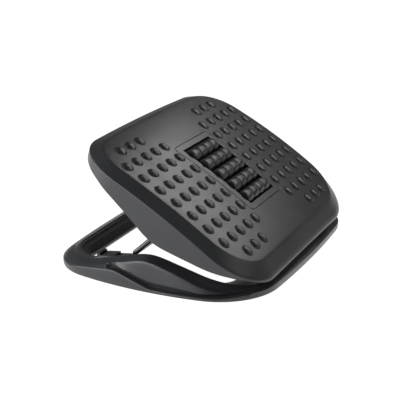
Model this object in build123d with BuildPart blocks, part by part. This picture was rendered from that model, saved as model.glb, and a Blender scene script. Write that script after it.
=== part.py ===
"""Tilting office footrest: an arched foot plate with rubber nubs and massage rollers.

The plate is hinged along its low edge on an open ring base, and a steel wire bail
props it up from two notched racks on the base. Millimetres, +Z up, user at -Y.
"""

import math
import os

from build123d import *

os.makedirs("parts", exist_ok=True)

# Foot plate: an arched shell in its own tilted frame, origin at the middle of its top
plate_tilt = 31.4
plate_centre_y = -38.4
plate_centre_z = 127.6
arch_radius = 1129.0
plate_wall = 3.0
plate_half_front = 221.0
plate_half_back = 217.0
plate_front_y = -170.0
plate_back_y = 157.5
plate_side_bow = 4.0
plate_back_bow = 6.0
plate_front_corner = 85.0
plate_back_corner = 78.0
rim_width = 16.0
rim_drop = 10.5

# Front lip and skirt of the plate, as (along the plate, height) in its side view
lip_start_y = -139.0
lip_middle = (-155.0, -14.0)
lip_end = (-167.0, -24.0)
lip_back_y = -150.0
skirt_front = (-130.0, -27.0)
skirt_low_start = (-40.0, -49.5)
skirt_low = (-6.0, -55.5)
skirt_low_end = (30.0, -48.5)
skirt_back = (110.0, -34.0)
skirt_back_end_z = -32.0

# Stiffening ribs under the plate
rib_thickness = 2.5
rib_bottom_z = -20.0
side_rib_x = 202.0
side_rib_half_length = 110.0
cross_rib_y = 134.0
cross_rib_half_length = 180.0
middle_rib_x = 30.0

# Rubber nubs in two zones, and the mats that carry them
nub_pitch = 29.0
nub_columns = 5
nub_rows = 9
nub_zone_x = 128.6
nub_radius = 8.8
nub_height = 4.5
nub_round = 4.0
nub_clearance = 0.25
mat_thickness = 2.0
mat_gap = 0.2
mat_margin_x = 9.0
mat_margin_y = 10.0
mat_corner = 38.0
mat_screw_inset = 8.0

# Screws
screw_radius = 1.75
screw_head_radius = 4.6
screw_head_height = 2.4
screw_length = 5.0
screw_boss_radius = 4.0
screw_skin = 1.0
boss_clearance = 0.3

# Massage rollers and their axles
roller_count = 5
roller_pitch = 25.5
roller_radius = 11.0
roller_length = 86.0
roller_rings = 4
roller_groove = 1.8
roller_proud = 4.5
axle_radius = 2.5
running_clearance = 0.05

# Roller tray: a flush bezel with a box below it
bezel_half_x = 58.0
bezel_half_y = 75.4
bezel_corner = 8.0
bezel_thickness = 3.0
seam_gap = 0.4
tray_opening_half_x = 46.0
tray_opening_half_y = 65.5
tray_wall = 4.0
tray_floor = 2.5
roller_floor_gap = 3.0
lug_x = 30.0
lug_y = 84.0
lug_half_width = 9.0
lug_thickness = 3.0
lug_boss_drop = 2.5

# Hinge along the front edge
hinge_y = -146.0
hinge_z = 21.0
hinge_x = 120.0
hinge_pin_radius = 3.0
pin_head_radius = 4.8
pin_head_height = 2.0
ear_width = 10.0
ear_radius = 8.0
ear_root_z = -10.2
ear_front_z = -14.5
cheek_width = 6.0
cheek_radius = 8.5
cheek_gap = 0.4

# Wire bail that props the plate
wire_radius = 4.0
bend_radius = 8.0
leg_inset = 38.0
leg_x = plate_half_front - leg_inset
stub_length = 19.0
stub_inner_x = leg_x - stub_length
pivot_y = -14.5
pivot_z = -12.8
crossbar_y = 32.5
crossbar_z = 39.0

# Bearing clips that hold the bail's ends under the plate
clip_inset = 11.9
clip_x = leg_x - clip_inset
clip_half_width = 3.5
clip_half_length = 21.0
clip_screw_pitch = 29.0
clip_cover = 3.5
clip_gap = 0.4

# Base: an open ring frame
base_half_front = 206.0
base_half_back = 190.0
base_front_y = -166.0
base_back_y = 168.0
base_side_bow = 26.0
base_front_bow = 10.0
base_back_bow = 8.0
base_front_corner = 95.0
base_back_corner = 85.0
base_wall = 3.0
foot_proud = 1.5
band_width = 9.0
band_back_z = 21.0
band_step_back_y = 50.0
band_step_front_y = 6.0
band_low_z = 8.0
band_front_y = -110.0
front_rail_z = 13.0

# Top line of the side rails, as (along the base, height)
rail_back_z = 22.0
rail_rise = (100.0, 26.5)
rail_hump_back = (30.0, 41.0)
rail_hump = (0.0, 46.5)
rail_hump_front = (-30.0, 41.5)
rail_front_y = -140.0

# Openings of the ring: the inner face of the rails, and the inner edge of the ledge
rail_inner_x = 190.0
rail_inner_front_y = -158.0
rail_inner_back_y = 149.0
rail_inner_corner = 80.0
opening_half_x = 165.0
opening_front_y = -124.0
opening_back_y = 130.0
opening_corner = 35.0
ledge_back_z = 16.5
ledge_step_back_y = 104.0
ledge_step_front_y = 84.0
ledge_low_z = 10.0

# Racks on the ledge that the bail's crossbar drops into
rack_inner_x = 170.0
rack_tip_drop = 0.5
notch_depth = 3.0
notch_pitch = 23.5
notch_count = 3
notch_face_gap = 0.5
rack_end_length = 5.0

# Rubber feet
foot_radius = 13.0
foot_recess = 2.0
foot_boss_wall = 3.0
foot_boss_height = 7.0
foot_front = (181.0, -98.0)
foot_back = (184.0, 100.0)

# Frames worked out from the sizes above
tilt = math.radians(plate_tilt)
plate_plane = Plane(
    origin=(0, plate_centre_y, plate_centre_z),
    x_dir=(1, 0, 0),
    z_dir=(0, -math.sin(tilt), math.cos(tilt)),
)


def side_plane(x):
    """Plane across the plate's width at x: local x runs up the plate, local y out of its top."""
    origin = plate_plane.from_local_coords((x, 0, 0))
    return Plane(origin=origin, x_dir=plate_plane.y_dir, z_dir=(1, 0, 0))


def arch_z(y, depth=0.0):
    """Height of the arched surface at y along the plate, depth below its top face."""
    radius = arch_radius - depth
    return math.sqrt(radius**2 - y**2) - arch_radius


def plate_point(x, y, z):
    """Point of the plate's own frame in the frame of the whole object."""
    return plate_plane.from_local_coords((x, y, z))


hinge_local = plate_plane.to_local_coords(Vector(0, hinge_y, hinge_z))
pivot = plate_point(0, pivot_y, pivot_z)
crossbar = Vector(0, crossbar_y, crossbar_z)
rack_tip_z = crossbar_z - wire_radius - rack_tip_drop
first_notch_y = crossbar_y + wire_radius + notch_face_gap


def save(piece, name):
    """Label a finished piece and write it under that name."""
    piece.part.label = name
    export_step(piece.part, f"parts/{name}.step")


# Blanks of the foot plate

plate_block_depth = 80.0
plate_block_height = 30.0
plate_reach = 2 * (max(plate_half_front, plate_half_back) + plate_side_bow)


def bowed_plan(plane, halves, ends, bows, corners, inset):
    """Trapezoid with bowed sides and round corners, moved in on all sides by inset.

    Pairs give the front's and the back's values, and bows the front's, the sides' and the back's.
    """
    front_half, back_half = [half - inset for half in halves]
    front_y = ends[0] + inset
    back_y = ends[1] - inset
    front_bow, side_bow, back_bow = bows
    middle_half = (front_half + back_half) / 2 + side_bow
    middle_y = (front_y + back_y) / 2
    with BuildSketch(plane) as plan:
        with BuildLine():
            if front_bow > 0:
                front = ThreePointArc(
                    (-front_half, front_y), (0, front_y - front_bow), (front_half, front_y)
                )
            else:
                front = Line((-front_half, front_y), (front_half, front_y))
            right = ThreePointArc(front @ 1, (middle_half, middle_y), (back_half, back_y))
            back = ThreePointArc(right @ 1, (0, back_y + back_bow), (-back_half, back_y))
            ThreePointArc(back @ 1, (-middle_half, middle_y), front @ 0)
        make_face()
        fillet(plan.vertices().sort_by(Axis.Y)[:2], corners[0] - inset)
        fillet(plan.vertices().sort_by(Axis.Y)[-2:], corners[1] - inset)
    return plan.sketch


def plate_plan(inset):
    """Plan outline of the plate, far below its top face."""
    return bowed_plan(
        plate_plane.offset(-plate_block_depth),
        (plate_half_front, plate_half_back),
        (plate_front_y, plate_back_y),
        (0.0, plate_side_bow, plate_back_bow),
        (plate_front_corner, plate_back_corner),
        inset,
    )


def plate_block(inset):
    """Body of the plate with its bevelled rim; inset makes the smaller body of its hollow.

    The hollow stops behind the lip, which is solid.
    """
    back_y = plate_back_y + plate_back_bow
    with BuildPart() as block:
        with BuildSketch(side_plane(-plate_reach / 2)):
            with BuildLine():
                arch = ThreePointArc(
                    (back_y, arch_z(back_y, inset)),
                    (0, arch_z(0, inset)),
                    (lip_start_y, arch_z(lip_start_y, inset)),
                )
                if inset > 0:
                    Polyline(
                        arch @ 1,
                        (lip_back_y, lip_end[1]),
                        (lip_back_y, -plate_block_depth),
                        (back_y, -plate_block_depth),
                        arch @ 0,
                    )
                else:
                    lip = ThreePointArc(arch @ 1, lip_middle, lip_end)
                    under = Polyline(lip @ 1, skirt_front, skirt_low_start)
                    low = ThreePointArc(under @ 1, skirt_low, skirt_low_end)
                    Polyline(low @ 1, skirt_back, (back_y, skirt_back_end_z), arch @ 0)
            make_face()
        extrude(amount=plate_reach)
        extrude(
            plate_plan(inset),
            amount=plate_block_depth + plate_block_height,
            mode=Mode.INTERSECT,
        )
        top = max(block.faces().filter_by(GeomType.CYLINDER), key=lambda face: face.area)
        rim = top.edges().filter_by(GeomType.LINE, reverse=True)
        chamfer(rim, rim_width, rim_drop, reference=top)
    return block.part


def arched_slab(centre_x, half_x, half_y, corner, top, thickness):
    """Round-cornered slab that follows the arch, from top below the plate's top face."""
    bottom = top + thickness
    reach_x = half_x + corner
    reach_y = half_y + corner
    with BuildPart() as slab:
        with BuildSketch(side_plane(centre_x - reach_x)):
            with BuildLine():
                upper = ThreePointArc(
                    (-reach_y, arch_z(reach_y, top)),
                    (0, arch_z(0, top)),
                    (reach_y, arch_z(reach_y, top)),
                )
                lower = ThreePointArc(
                    (-reach_y, arch_z(reach_y, bottom)),
                    (0, arch_z(0, bottom)),
                    (reach_y, arch_z(reach_y, bottom)),
                )
                Line(upper @ 0, lower @ 0)
                Line(upper @ 1, lower @ 1)
            make_face()
        extrude(amount=2 * reach_x)
        with BuildSketch(plate_plane.offset(-plate_block_height)):
            with Locations((centre_x, 0)):
                RectangleRounded(2 * half_x, 2 * half_y, corner)
        extrude(amount=2 * plate_block_height, mode=Mode.INTERSECT)
    return slab.part


# Places that several pieces share, in the plate's own frame

row_middle = (nub_rows - 1) / 2
column_middle = (nub_columns - 1) / 2
row_ys = [(row - row_middle) * nub_pitch for row in range(nub_rows)]
column_xs = [(column - column_middle) * nub_pitch for column in range(nub_columns)]


def nub_columns_in(row):
    """Columns of one row that hold a nub: the end rows leave their corners to screws."""
    if row in (0, nub_rows - 1):
        return column_xs[1:-1]
    return column_xs


mat_screw_x = column_xs[-1] - mat_screw_inset
mat_screw_y = row_ys[-1] - mat_screw_inset
mat_screw_places = [
    (side * nub_zone_x + column_x, end * mat_screw_y)
    for side in (-1, 1)
    for column_x in (-mat_screw_x, mat_screw_x)
    for end in (-1, 1)
]
clip_screw_places = [
    (side * clip_x, pivot_y + end * clip_screw_pitch / 2) for side in (-1, 1) for end in (-1, 1)
]
tray_screw_places = [(side * lug_x, end * lug_y) for side in (-1, 1) for end in (-1, 1)]

mat_top_depth = plate_wall + mat_gap
mat_bottom_depth = mat_top_depth + mat_thickness
clip_top_z = arch_z(abs(pivot_y) + clip_half_length, mat_bottom_depth) - clip_gap
lug_top_z = arch_z(lug_y, plate_wall) - lug_boss_drop
mat_seat_z = arch_z(mat_screw_y + screw_head_radius, mat_bottom_depth)

screw_seats = (
    [(x, y, mat_seat_z) for x, y in mat_screw_places]
    + [(x, y, clip_top_z) for x, y in clip_screw_places]
    + [(x, y, lug_top_z) for x, y in tray_screw_places]
)

axle_ys = [(index - (roller_count - 1) / 2) * roller_pitch for index in range(roller_count)]
axle_depth = roller_radius - roller_proud
tray_floor_top_z = arch_z(axle_ys[-1], axle_depth) - roller_radius - roller_floor_gap
tray_bottom_z = tray_floor_top_z - tray_floor


# Foot plate: shell, ribs, screw bosses and hinge ears

with BuildPart() as ribs:
    with BuildSketch(plate_plane.offset(rib_bottom_z)):
        with Locations((-side_rib_x, 0), (side_rib_x, 0)):
            Rectangle(rib_thickness, 2 * side_rib_half_length)
        with Locations((0, -cross_rib_y), (0, cross_rib_y)):
            Rectangle(2 * cross_rib_half_length, rib_thickness)
        middle_rib_start = lug_y + lug_half_width + boss_clearance
        middle_rib_length = cross_rib_y - middle_rib_start
        middle_rib_y = (cross_rib_y + middle_rib_start) / 2
        with Locations(
            *[(side * middle_rib_x, end * middle_rib_y) for side in (-1, 1) for end in (-1, 1)]
        ):
            Rectangle(rib_thickness, middle_rib_length)
    extrude(amount=plate_block_height - rib_bottom_z)
    add(plate_block(plate_wall / 2), mode=Mode.INTERSECT)

with BuildPart() as hinge_ears:
    for side in (-1, 1):
        with BuildSketch(side_plane(side * hinge_x - ear_width / 2)):
            with Locations((hinge_local.Y, hinge_local.Z)):
                Circle(ear_radius)
            with BuildLine():
                Polyline(
                    (hinge_local.Y - ear_radius, hinge_local.Z),
                    (hinge_local.Y + ear_radius, hinge_local.Z),
                    (hinge_local.Y + 2 * ear_radius, ear_root_z),
                    (hinge_local.Y - ear_radius / 2, ear_front_z),
                    close=True,
                )
            make_face()
        extrude(amount=ear_width)

with BuildPart() as screw_bosses:
    for x, y, seat_z in screw_seats:
        with BuildSketch(plate_plane.offset(seat_z)):
            with Locations((x, y)):
                Circle(screw_boss_radius)
        extrude(amount=arch_z(y, plate_wall / 2) - seat_z)

with BuildPart() as foot_plate:
    add(plate_block(0.0))
    add(plate_block(plate_wall), mode=Mode.SUBTRACT)
    add(ribs.part)
    add(screw_bosses.part)
    add(hinge_ears.part)
    with BuildSketch(plate_plane.offset(-plate_block_height)):
        for row, row_y in enumerate(row_ys):
            for side in (-1, 1):
                with Locations(*[(side * nub_zone_x + x, row_y) for x in nub_columns_in(row)]):
                    Circle(nub_radius + nub_clearance)
        RectangleRounded(
            2 * (bezel_half_x + seam_gap), 2 * (bezel_half_y + seam_gap), bezel_corner + seam_gap
        )
    extrude(amount=2 * plate_block_height, mode=Mode.SUBTRACT)
    for x, y, seat_z in screw_seats:
        with BuildSketch(plate_plane.offset(seat_z)):
            with Locations((x, y)):
                Circle(screw_radius)
        extrude(amount=arch_z(y, screw_skin) - seat_z, mode=Mode.SUBTRACT)
    with BuildSketch(Plane.YZ.offset(-plate_reach / 2)):
        with Locations((hinge_y, hinge_z)):
            Circle(hinge_pin_radius + running_clearance)
    extrude(amount=plate_reach, mode=Mode.SUBTRACT)
save(foot_plate, "foot_plate")


# Nub mats: a rubber sheet under the plate with its nubs standing through the holes

for side_name, side in (("left", -1), ("right", 1)):
    with BuildPart() as nub_mat:
        add(
            arched_slab(
                side * nub_zone_x,
                column_xs[-1] + mat_margin_x,
                row_ys[-1] + mat_margin_y,
                mat_corner,
                mat_top_depth,
                mat_thickness,
            )
        )
        for row, row_y in enumerate(row_ys):
            root_z = arch_z(row_y, mat_bottom_depth - mat_thickness / 2)
            with BuildSketch(plate_plane.offset(root_z)):
                with Locations(*[(side * nub_zone_x + x, row_y) for x in nub_columns_in(row)]):
                    Circle(nub_radius)
            extrude(amount=arch_z(row_y) + nub_height - root_z)
        crowns = [
            edge
            for edge in nub_mat.edges().filter_by(GeomType.CIRCLE)
            if abs(edge.radius - nub_radius) < nub_clearance
            and plate_plane.to_local_coords(edge.center()).Z
            > arch_z(plate_plane.to_local_coords(edge.center()).Y) + nub_height / 2
        ]
        fillet(crowns, nub_round)
        with BuildSketch(plate_plane.offset(-plate_block_height)):
            with Locations(*[place for place in mat_screw_places if place[0] * side > 0]):
                Circle(screw_boss_radius + boss_clearance)
            with Locations(*[place for place in clip_screw_places if place[0] * side > 0]):
                Circle(screw_boss_radius + boss_clearance)
        extrude(amount=2 * plate_block_height, mode=Mode.SUBTRACT)
    save(nub_mat, f"nub_mat_{side_name}")


# Roller tray with its bezel, side walls, floor and screw lugs

with BuildPart() as roller_tray:
    add(arched_slab(0.0, bezel_half_x, bezel_half_y, bezel_corner, 0.0, bezel_thickness))
    with BuildSketch(plate_plane.offset(tray_bottom_z)):
        Rectangle(
            2 * (tray_opening_half_x + tray_wall), 2 * (tray_opening_half_y + tray_wall)
        )
    extrude(amount=arch_z(tray_opening_half_y + tray_wall, bezel_thickness / 2) - tray_bottom_z)
    with BuildSketch(plate_plane.offset(lug_top_z - lug_thickness)):
        for side in (-1, 1):
            with Locations((side * lug_x, 0)):
                Rectangle(2 * lug_half_width, 2 * (lug_y + lug_half_width))
    extrude(amount=lug_thickness)
    with BuildSketch(plate_plane.offset(tray_floor_top_z)):
        Rectangle(2 * tray_opening_half_x, 2 * tray_opening_half_y)
    extrude(amount=plate_block_height - tray_floor_top_z, mode=Mode.SUBTRACT)
    for axle_y in axle_ys:
        with BuildSketch(side_plane(-bezel_half_x)):
            with Locations((axle_y, arch_z(axle_y, axle_depth))):
                Circle(axle_radius)
        extrude(amount=2 * bezel_half_x, mode=Mode.SUBTRACT)
    with BuildSketch(plate_plane.offset(lug_top_z - lug_thickness)):
        with Locations(*tray_screw_places):
            Circle(screw_radius)
    extrude(amount=lug_thickness, mode=Mode.SUBTRACT)
save(roller_tray, "roller_tray")


# Rollers, each turned with crowned rings, and the axles they run on

ring_length = roller_length / roller_rings
for index, axle_y in enumerate(axle_ys, start=1):
    axle_plane = Plane(
        origin=plate_point(0, axle_y, arch_z(axle_y, axle_depth)),
        x_dir=(1, 0, 0),
        z_dir=plate_plane.y_dir,
    )
    with BuildPart() as roller:
        with BuildSketch(axle_plane):
            with BuildLine():
                start = Vector(-roller_length / 2, axle_radius + running_clearance)
                edge = Line(start, (start.X, roller_radius - roller_groove))
                for ring in range(roller_rings):
                    ring_x = start.X + ring * ring_length
                    edge = ThreePointArc(
                        edge @ 1,
                        (ring_x + ring_length / 2, roller_radius),
                        (ring_x + ring_length, roller_radius - roller_groove),
                    )
                Polyline(edge @ 1, (-start.X, start.Y), start)
            make_face()
        revolve(axis=Axis(axle_plane.origin, axle_plane.x_dir))
    save(roller, f"roller_{index}")
    with BuildPart() as axle:
        with BuildSketch(side_plane(-tray_opening_half_x - tray_wall)):
            with Locations((axle_y, arch_z(axle_y, axle_depth))):
                Circle(axle_radius)
        extrude(amount=2 * (tray_opening_half_x + tray_wall))
    save(axle, f"roller_axle_{index}")


# Wire bail: crossbar, two legs and two stubs turned in at the pivot

with BuildPart() as bail:
    with BuildLine() as wire:
        FilletPolyline(
            (-stub_inner_x, pivot.Y, pivot.Z),
            (-leg_x, pivot.Y, pivot.Z),
            (-leg_x, crossbar.Y, crossbar.Z),
            (leg_x, crossbar.Y, crossbar.Z),
            (leg_x, pivot.Y, pivot.Z),
            (stub_inner_x, pivot.Y, pivot.Z),
            radius=bend_radius,
        )
    with BuildSketch(Plane(origin=wire.line @ 0, z_dir=wire.line % 0)):
        Circle(wire_radius)
    sweep()
save(bail, "bail")


# Bearing clips for the bail's ends

clip_bottom_z = pivot_z - wire_radius - clip_cover
for side_name, side in (("left", -1), ("right", 1)):
    with BuildPart() as bail_clip:
        with BuildSketch(side_plane(side * clip_x - clip_half_width)):
            with BuildLine():
                foot_z = clip_top_z - clip_cover
                crown_half = wire_radius + clip_cover
                Polyline(
                    (pivot_y - clip_half_length, clip_top_z),
                    (pivot_y + clip_half_length, clip_top_z),
                    (pivot_y + clip_half_length, foot_z),
                    (pivot_y + crown_half, foot_z),
                    (pivot_y + crown_half, pivot_z),
                )
                ThreePointArc(
                    (pivot_y + crown_half, pivot_z),
                    (pivot_y, clip_bottom_z),
                    (pivot_y - crown_half, pivot_z),
                )
                Polyline(
                    (pivot_y - crown_half, pivot_z),
                    (pivot_y - crown_half, foot_z),
                    (pivot_y - clip_half_length, foot_z),
                    (pivot_y - clip_half_length, clip_top_z),
                )
            make_face()
            with Locations((pivot_y, pivot_z)):
                Circle(wire_radius + running_clearance, mode=Mode.SUBTRACT)
        extrude(amount=2 * clip_half_width)
        with BuildSketch(plate_plane.offset(clip_top_z - clip_cover)):
            with Locations(*[place for place in clip_screw_places if place[0] * side > 0]):
                Circle(screw_radius)
        extrude(amount=clip_cover, mode=Mode.SUBTRACT)
    save(bail_clip, f"bail_clip_{side_name}")


# Screws: pan heads below what they hold, shanks up into the plate's bosses

def screw_group(name, places, seat_z, held_thickness):
    """One node with a screw at each place, its head under the held piece."""
    head_top_z = seat_z - held_thickness
    with BuildPart() as screws:
        with BuildSketch(plate_plane.offset(head_top_z - screw_head_height)):
            with Locations(*places):
                Circle(screw_head_radius)
        extrude(amount=screw_head_height)
        with BuildSketch(plate_plane.offset(head_top_z)):
            with Locations(*places):
                Circle(screw_radius)
        extrude(amount=screw_length + held_thickness - screw_head_height)
    save(screws, name)


screw_group("mat_screws", mat_screw_places, mat_seat_z, 0.0)
screw_group("clip_screws", clip_screw_places, clip_top_z, clip_cover)
screw_group("tray_screws", tray_screw_places, lug_top_z, lug_thickness)


# Blanks of the base

base_reach = 2 * (max(base_half_front, base_half_back) + base_side_bow)
base_depth = 2 * max(base_back_y, -base_front_y)
base_height = 2 * rail_hump[1]


def base_plan(plane, inset):
    """Plan outline of the base."""
    return bowed_plan(
        plane,
        (base_half_front, base_half_back),
        (base_front_y, base_back_y),
        (base_front_bow, base_side_bow, base_back_bow),
        (base_front_corner, base_back_corner),
        inset,
    )


def close_below(start_z, end_z):
    """Close a top line that runs from the back to the front with a line far below it."""
    Polyline(
        (-base_depth, end_z),
        (-base_depth, -base_height),
        (base_depth, -base_height),
        (base_depth, start_z),
    )


def band_line(drop):
    """Top line of the outer band in side view: high behind, a step, low beside the rails."""
    Polyline(
        (base_depth, band_back_z - drop),
        (band_step_back_y, band_back_z - drop),
        (band_step_front_y, band_low_z - drop),
        (band_front_y, band_low_z - drop),
        (rail_front_y, front_rail_z - drop),
        (-base_depth, front_rail_z - drop),
    )
    close_below(band_back_z - drop, front_rail_z - drop)


def rail_line(drop):
    """Top line of the rails in side view, with its round hump, drop below the outside."""
    Polyline(
        (base_depth, rail_back_z - drop),
        (base_back_y, rail_back_z - drop),
        (rail_rise[0], rail_rise[1] - drop),
        (rail_hump_back[0], rail_hump_back[1] - drop),
    )
    ThreePointArc(
        (rail_hump_back[0], rail_hump_back[1] - drop),
        (rail_hump[0], rail_hump[1] - drop),
        (rail_hump_front[0], rail_hump_front[1] - drop),
    )
    Polyline(
        (rail_hump_front[0], rail_hump_front[1] - drop),
        (rail_front_y, front_rail_z - drop),
        (-base_depth, front_rail_z - drop),
    )
    close_below(rail_back_z - drop, front_rail_z - drop)


def ledge_line(drop):
    """Top line of the inner ledge in side view: higher at the back, drop below the outside."""
    Polyline(
        (base_depth, ledge_back_z - drop),
        (ledge_step_back_y, ledge_back_z - drop),
        (ledge_step_front_y, ledge_low_z - drop),
        (-base_depth, ledge_low_z - drop),
    )
    close_below(ledge_back_z - drop, ledge_low_z - drop)


rail_opening = (rail_inner_x, rail_inner_front_y, rail_inner_back_y, rail_inner_corner)
ledge_opening = (opening_half_x, opening_front_y, opening_back_y, opening_corner)


def base_ring(inset, opening, growth, top_line, drop, bottom_z):
    """Ring between the plan and an opening grown on all sides, cut off at a top line."""
    half_x, front_y, back_y, corner = opening
    with BuildPart() as ring:
        extrude(base_plan(Plane.XY.offset(bottom_z), inset), amount=base_height)
        with BuildSketch(Plane.XY.offset(bottom_z)):
            with Locations((0, (front_y + back_y) / 2)):
                RectangleRounded(
                    2 * (half_x + growth), back_y - front_y + 2 * growth, corner + growth
                )
        extrude(amount=base_height, mode=Mode.SUBTRACT)
        with BuildSketch(Plane.YZ.offset(-base_reach / 2)):
            with BuildLine():
                top_line(drop)
            make_face()
        extrude(amount=base_reach, mode=Mode.INTERSECT)
    return ring.part


# Base frame: band, rails, ledge, racks, hinge cheeks and foot bosses

rack_root_z = ledge_low_z - base_wall / 2
rack_floor_z = rack_tip_z - notch_depth
rack_outer_x = rail_inner_x + base_wall / 2
rack_front_y = first_notch_y - notch_pitch
rack_back_y = first_notch_y + (notch_count - 1) * notch_pitch + rack_end_length
foot_places = [(side * place[0], place[1]) for side in (-1, 1) for place in (foot_front, foot_back)]
cheek_inner = ear_width / 2 + cheek_gap
cheek_sides = [
    (side * hinge_x + end * (cheek_inner + cheek_width / 2)) for side in (-1, 1) for end in (-1, 1)
]

with BuildPart() as base_frame:
    add(base_ring(0.0, rail_opening, 0.0, band_line, 0.0, foot_proud))
    add(base_ring(band_width, rail_opening, 0.0, rail_line, 0.0, foot_proud))
    add(base_ring(band_width, ledge_opening, 0.0, ledge_line, 0.0, foot_proud))
    add(
        base_ring(
            band_width + base_wall, rail_opening, base_wall, rail_line, base_wall, -base_wall
        ),
        mode=Mode.SUBTRACT,
    )
    add(
        base_ring(
            band_width + base_wall, ledge_opening, base_wall, ledge_line, base_wall, -base_wall
        ),
        mode=Mode.SUBTRACT,
    )
    for side in (-1, 1):
        rack_from_x, rack_to_x = sorted((side * rack_inner_x, side * rack_outer_x))
        with BuildSketch(Plane.YZ.offset(rack_from_x)):
            with BuildLine():
                tooth = Line((rack_front_y, rack_root_z), (rack_front_y, rack_tip_z))
                for notch in range(notch_count):
                    face_y = first_notch_y + notch * notch_pitch
                    tooth = Polyline(tooth @ 1, (face_y, rack_floor_z), (face_y, rack_tip_z))
                Polyline(
                    tooth @ 1,
                    (rack_back_y, rack_tip_z),
                    (rack_back_y, rack_root_z),
                    (rack_front_y, rack_root_z),
                )
            make_face()
        extrude(amount=rack_to_x - rack_from_x)
        with BuildSketch(Plane.XY.offset(foot_proud)):
            with Locations(
                (side * (rack_inner_x + rail_inner_x) / 2, (rack_front_y + rack_back_y) / 2)
            ):
                Rectangle(
                    rail_inner_x - rack_inner_x - 2 * base_wall,
                    rack_back_y - rack_front_y - 2 * base_wall,
                )
        extrude(amount=rack_floor_z - base_wall - foot_proud, mode=Mode.SUBTRACT)
    for cheek_x in cheek_sides:
        with BuildSketch(Plane.YZ.offset(cheek_x - cheek_width / 2)):
            with Locations((hinge_y, hinge_z)):
                Circle(cheek_radius)
            with Locations((hinge_y, (hinge_z + rack_root_z) / 2)):
                Rectangle(2 * cheek_radius, hinge_z - rack_root_z)
        extrude(amount=cheek_width)
    with BuildSketch(Plane.XY.offset(foot_proud)):
        with Locations(*foot_places):
            Circle(foot_radius + foot_boss_wall)
    extrude(amount=foot_boss_height - foot_proud)
    with BuildSketch(Plane.XY.offset(foot_proud)):
        with Locations(*foot_places):
            Circle(foot_radius)
    extrude(amount=foot_recess, mode=Mode.SUBTRACT)
    with BuildSketch(Plane.YZ.offset(-base_reach / 2)):
        with Locations((hinge_y, hinge_z)):
            Circle(hinge_pin_radius)
    extrude(amount=base_reach, mode=Mode.SUBTRACT)
save(base_frame, "base_frame")


# Hinge pins, headed on the inner side, and the rubber feet

pin_half_length = cheek_inner + cheek_width
for side_name, side in (("left", -1), ("right", 1)):
    with BuildPart() as hinge_pin:
        with BuildSketch(Plane.YZ.offset(side * hinge_x - pin_half_length)):
            with Locations((hinge_y, hinge_z)):
                Circle(hinge_pin_radius)
        extrude(amount=2 * pin_half_length)
        with BuildSketch(Plane.YZ.offset(side * (hinge_x - pin_half_length - pin_head_height / 2))):
            with Locations((hinge_y, hinge_z)):
                Circle(pin_head_radius)
        extrude(amount=pin_head_height / 2, both=True)
    save(hinge_pin, f"hinge_pin_{side_name}")

with BuildPart() as rubber_feet:
    with BuildSketch(Plane.XY):
        with Locations(*foot_places):
            Circle(foot_radius)
    extrude(amount=foot_proud + foot_recess)
save(rubber_feet, "rubber_feet")
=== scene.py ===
"""Looks of a tilting office footrest: an arched foot plate on an open ring base.

Sizes are millimetres in the object's own frame (+Z up, user at -Y). Meshes are written in metres.
"""

import logging
import math
from collections.abc import Callable
from dataclasses import dataclass, field
from enum import Enum
from typing import ClassVar

import bmesh
import bpy
import numpy as np
from mathutils import Matrix, Quaternion, Vector
from mathutils.geometry import delaunay_2d_cdt


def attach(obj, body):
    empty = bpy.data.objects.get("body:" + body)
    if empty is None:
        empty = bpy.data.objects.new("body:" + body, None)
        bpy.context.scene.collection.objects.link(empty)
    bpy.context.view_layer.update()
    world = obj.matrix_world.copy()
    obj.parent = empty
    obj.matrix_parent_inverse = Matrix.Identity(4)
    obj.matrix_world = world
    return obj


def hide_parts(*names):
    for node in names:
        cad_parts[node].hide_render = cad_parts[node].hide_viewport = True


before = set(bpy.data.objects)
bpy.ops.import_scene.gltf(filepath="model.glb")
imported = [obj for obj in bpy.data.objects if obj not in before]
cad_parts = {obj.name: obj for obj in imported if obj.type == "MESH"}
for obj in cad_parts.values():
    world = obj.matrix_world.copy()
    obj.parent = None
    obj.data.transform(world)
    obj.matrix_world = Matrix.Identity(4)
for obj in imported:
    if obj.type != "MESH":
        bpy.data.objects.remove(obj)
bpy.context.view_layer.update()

log = logging.getLogger("footrest")

Places = tuple[tuple[float, float], ...]
Triple = tuple[float, float, float]

MM = 0.001
WELD_DISTANCE = 0.004
LEAST_BOW = 0.02
HALF_CIRCLE_POINTS = 17
SIDES = (-1, 1)

# A sheet is cut into triangles over its whole hull; those outside it are dropped afterwards
HULL_TRIANGLES = 0
TRIANGLE_TOLERANCE = 1e-6
# Grid points nearer to an edge than this share of their spacing are dropped
GRID_MARGIN = 1 / 3

# The Mix node repeats its socket names for each data type, so its colour sockets go by number
MIX_FIRST_COLOUR = 6
MIX_SECOND_COLOUR = 7
MIX_COLOUR_RESULT = 2


class Facing(Enum):
    """Which way round the rows of a skin are joined."""

    OUTWARD = 1
    INWARD = -1


@dataclass
class Surface:
    """Vertices and faces of a piece under construction, in millimetres.

    Args:
        points: Vertex places, one row each.
        faces: Blocks of faces with equally many corners, as vertex numbers, one row a face.
    """

    points: np.ndarray
    faces: list[np.ndarray]

    def moved(self, place: Callable[[np.ndarray], np.ndarray]) -> "Surface":
        """Same faces with the points put through a function."""
        return Surface(place(self.points), self.faces)


def joined(surfaces: list[Surface]) -> Surface:
    """Put several surfaces into one.

    Args:
        surfaces: The surfaces, each with its own numbering.

    Returns:
        One surface that numbers its points through.
    """
    starts = np.cumsum([0] + [len(surface.points) for surface in surfaces])
    faces = [block + start for surface, start in zip(surfaces, starts) for block in surface.faces]
    return Surface(np.concatenate([surface.points for surface in surfaces]), faces)


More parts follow.
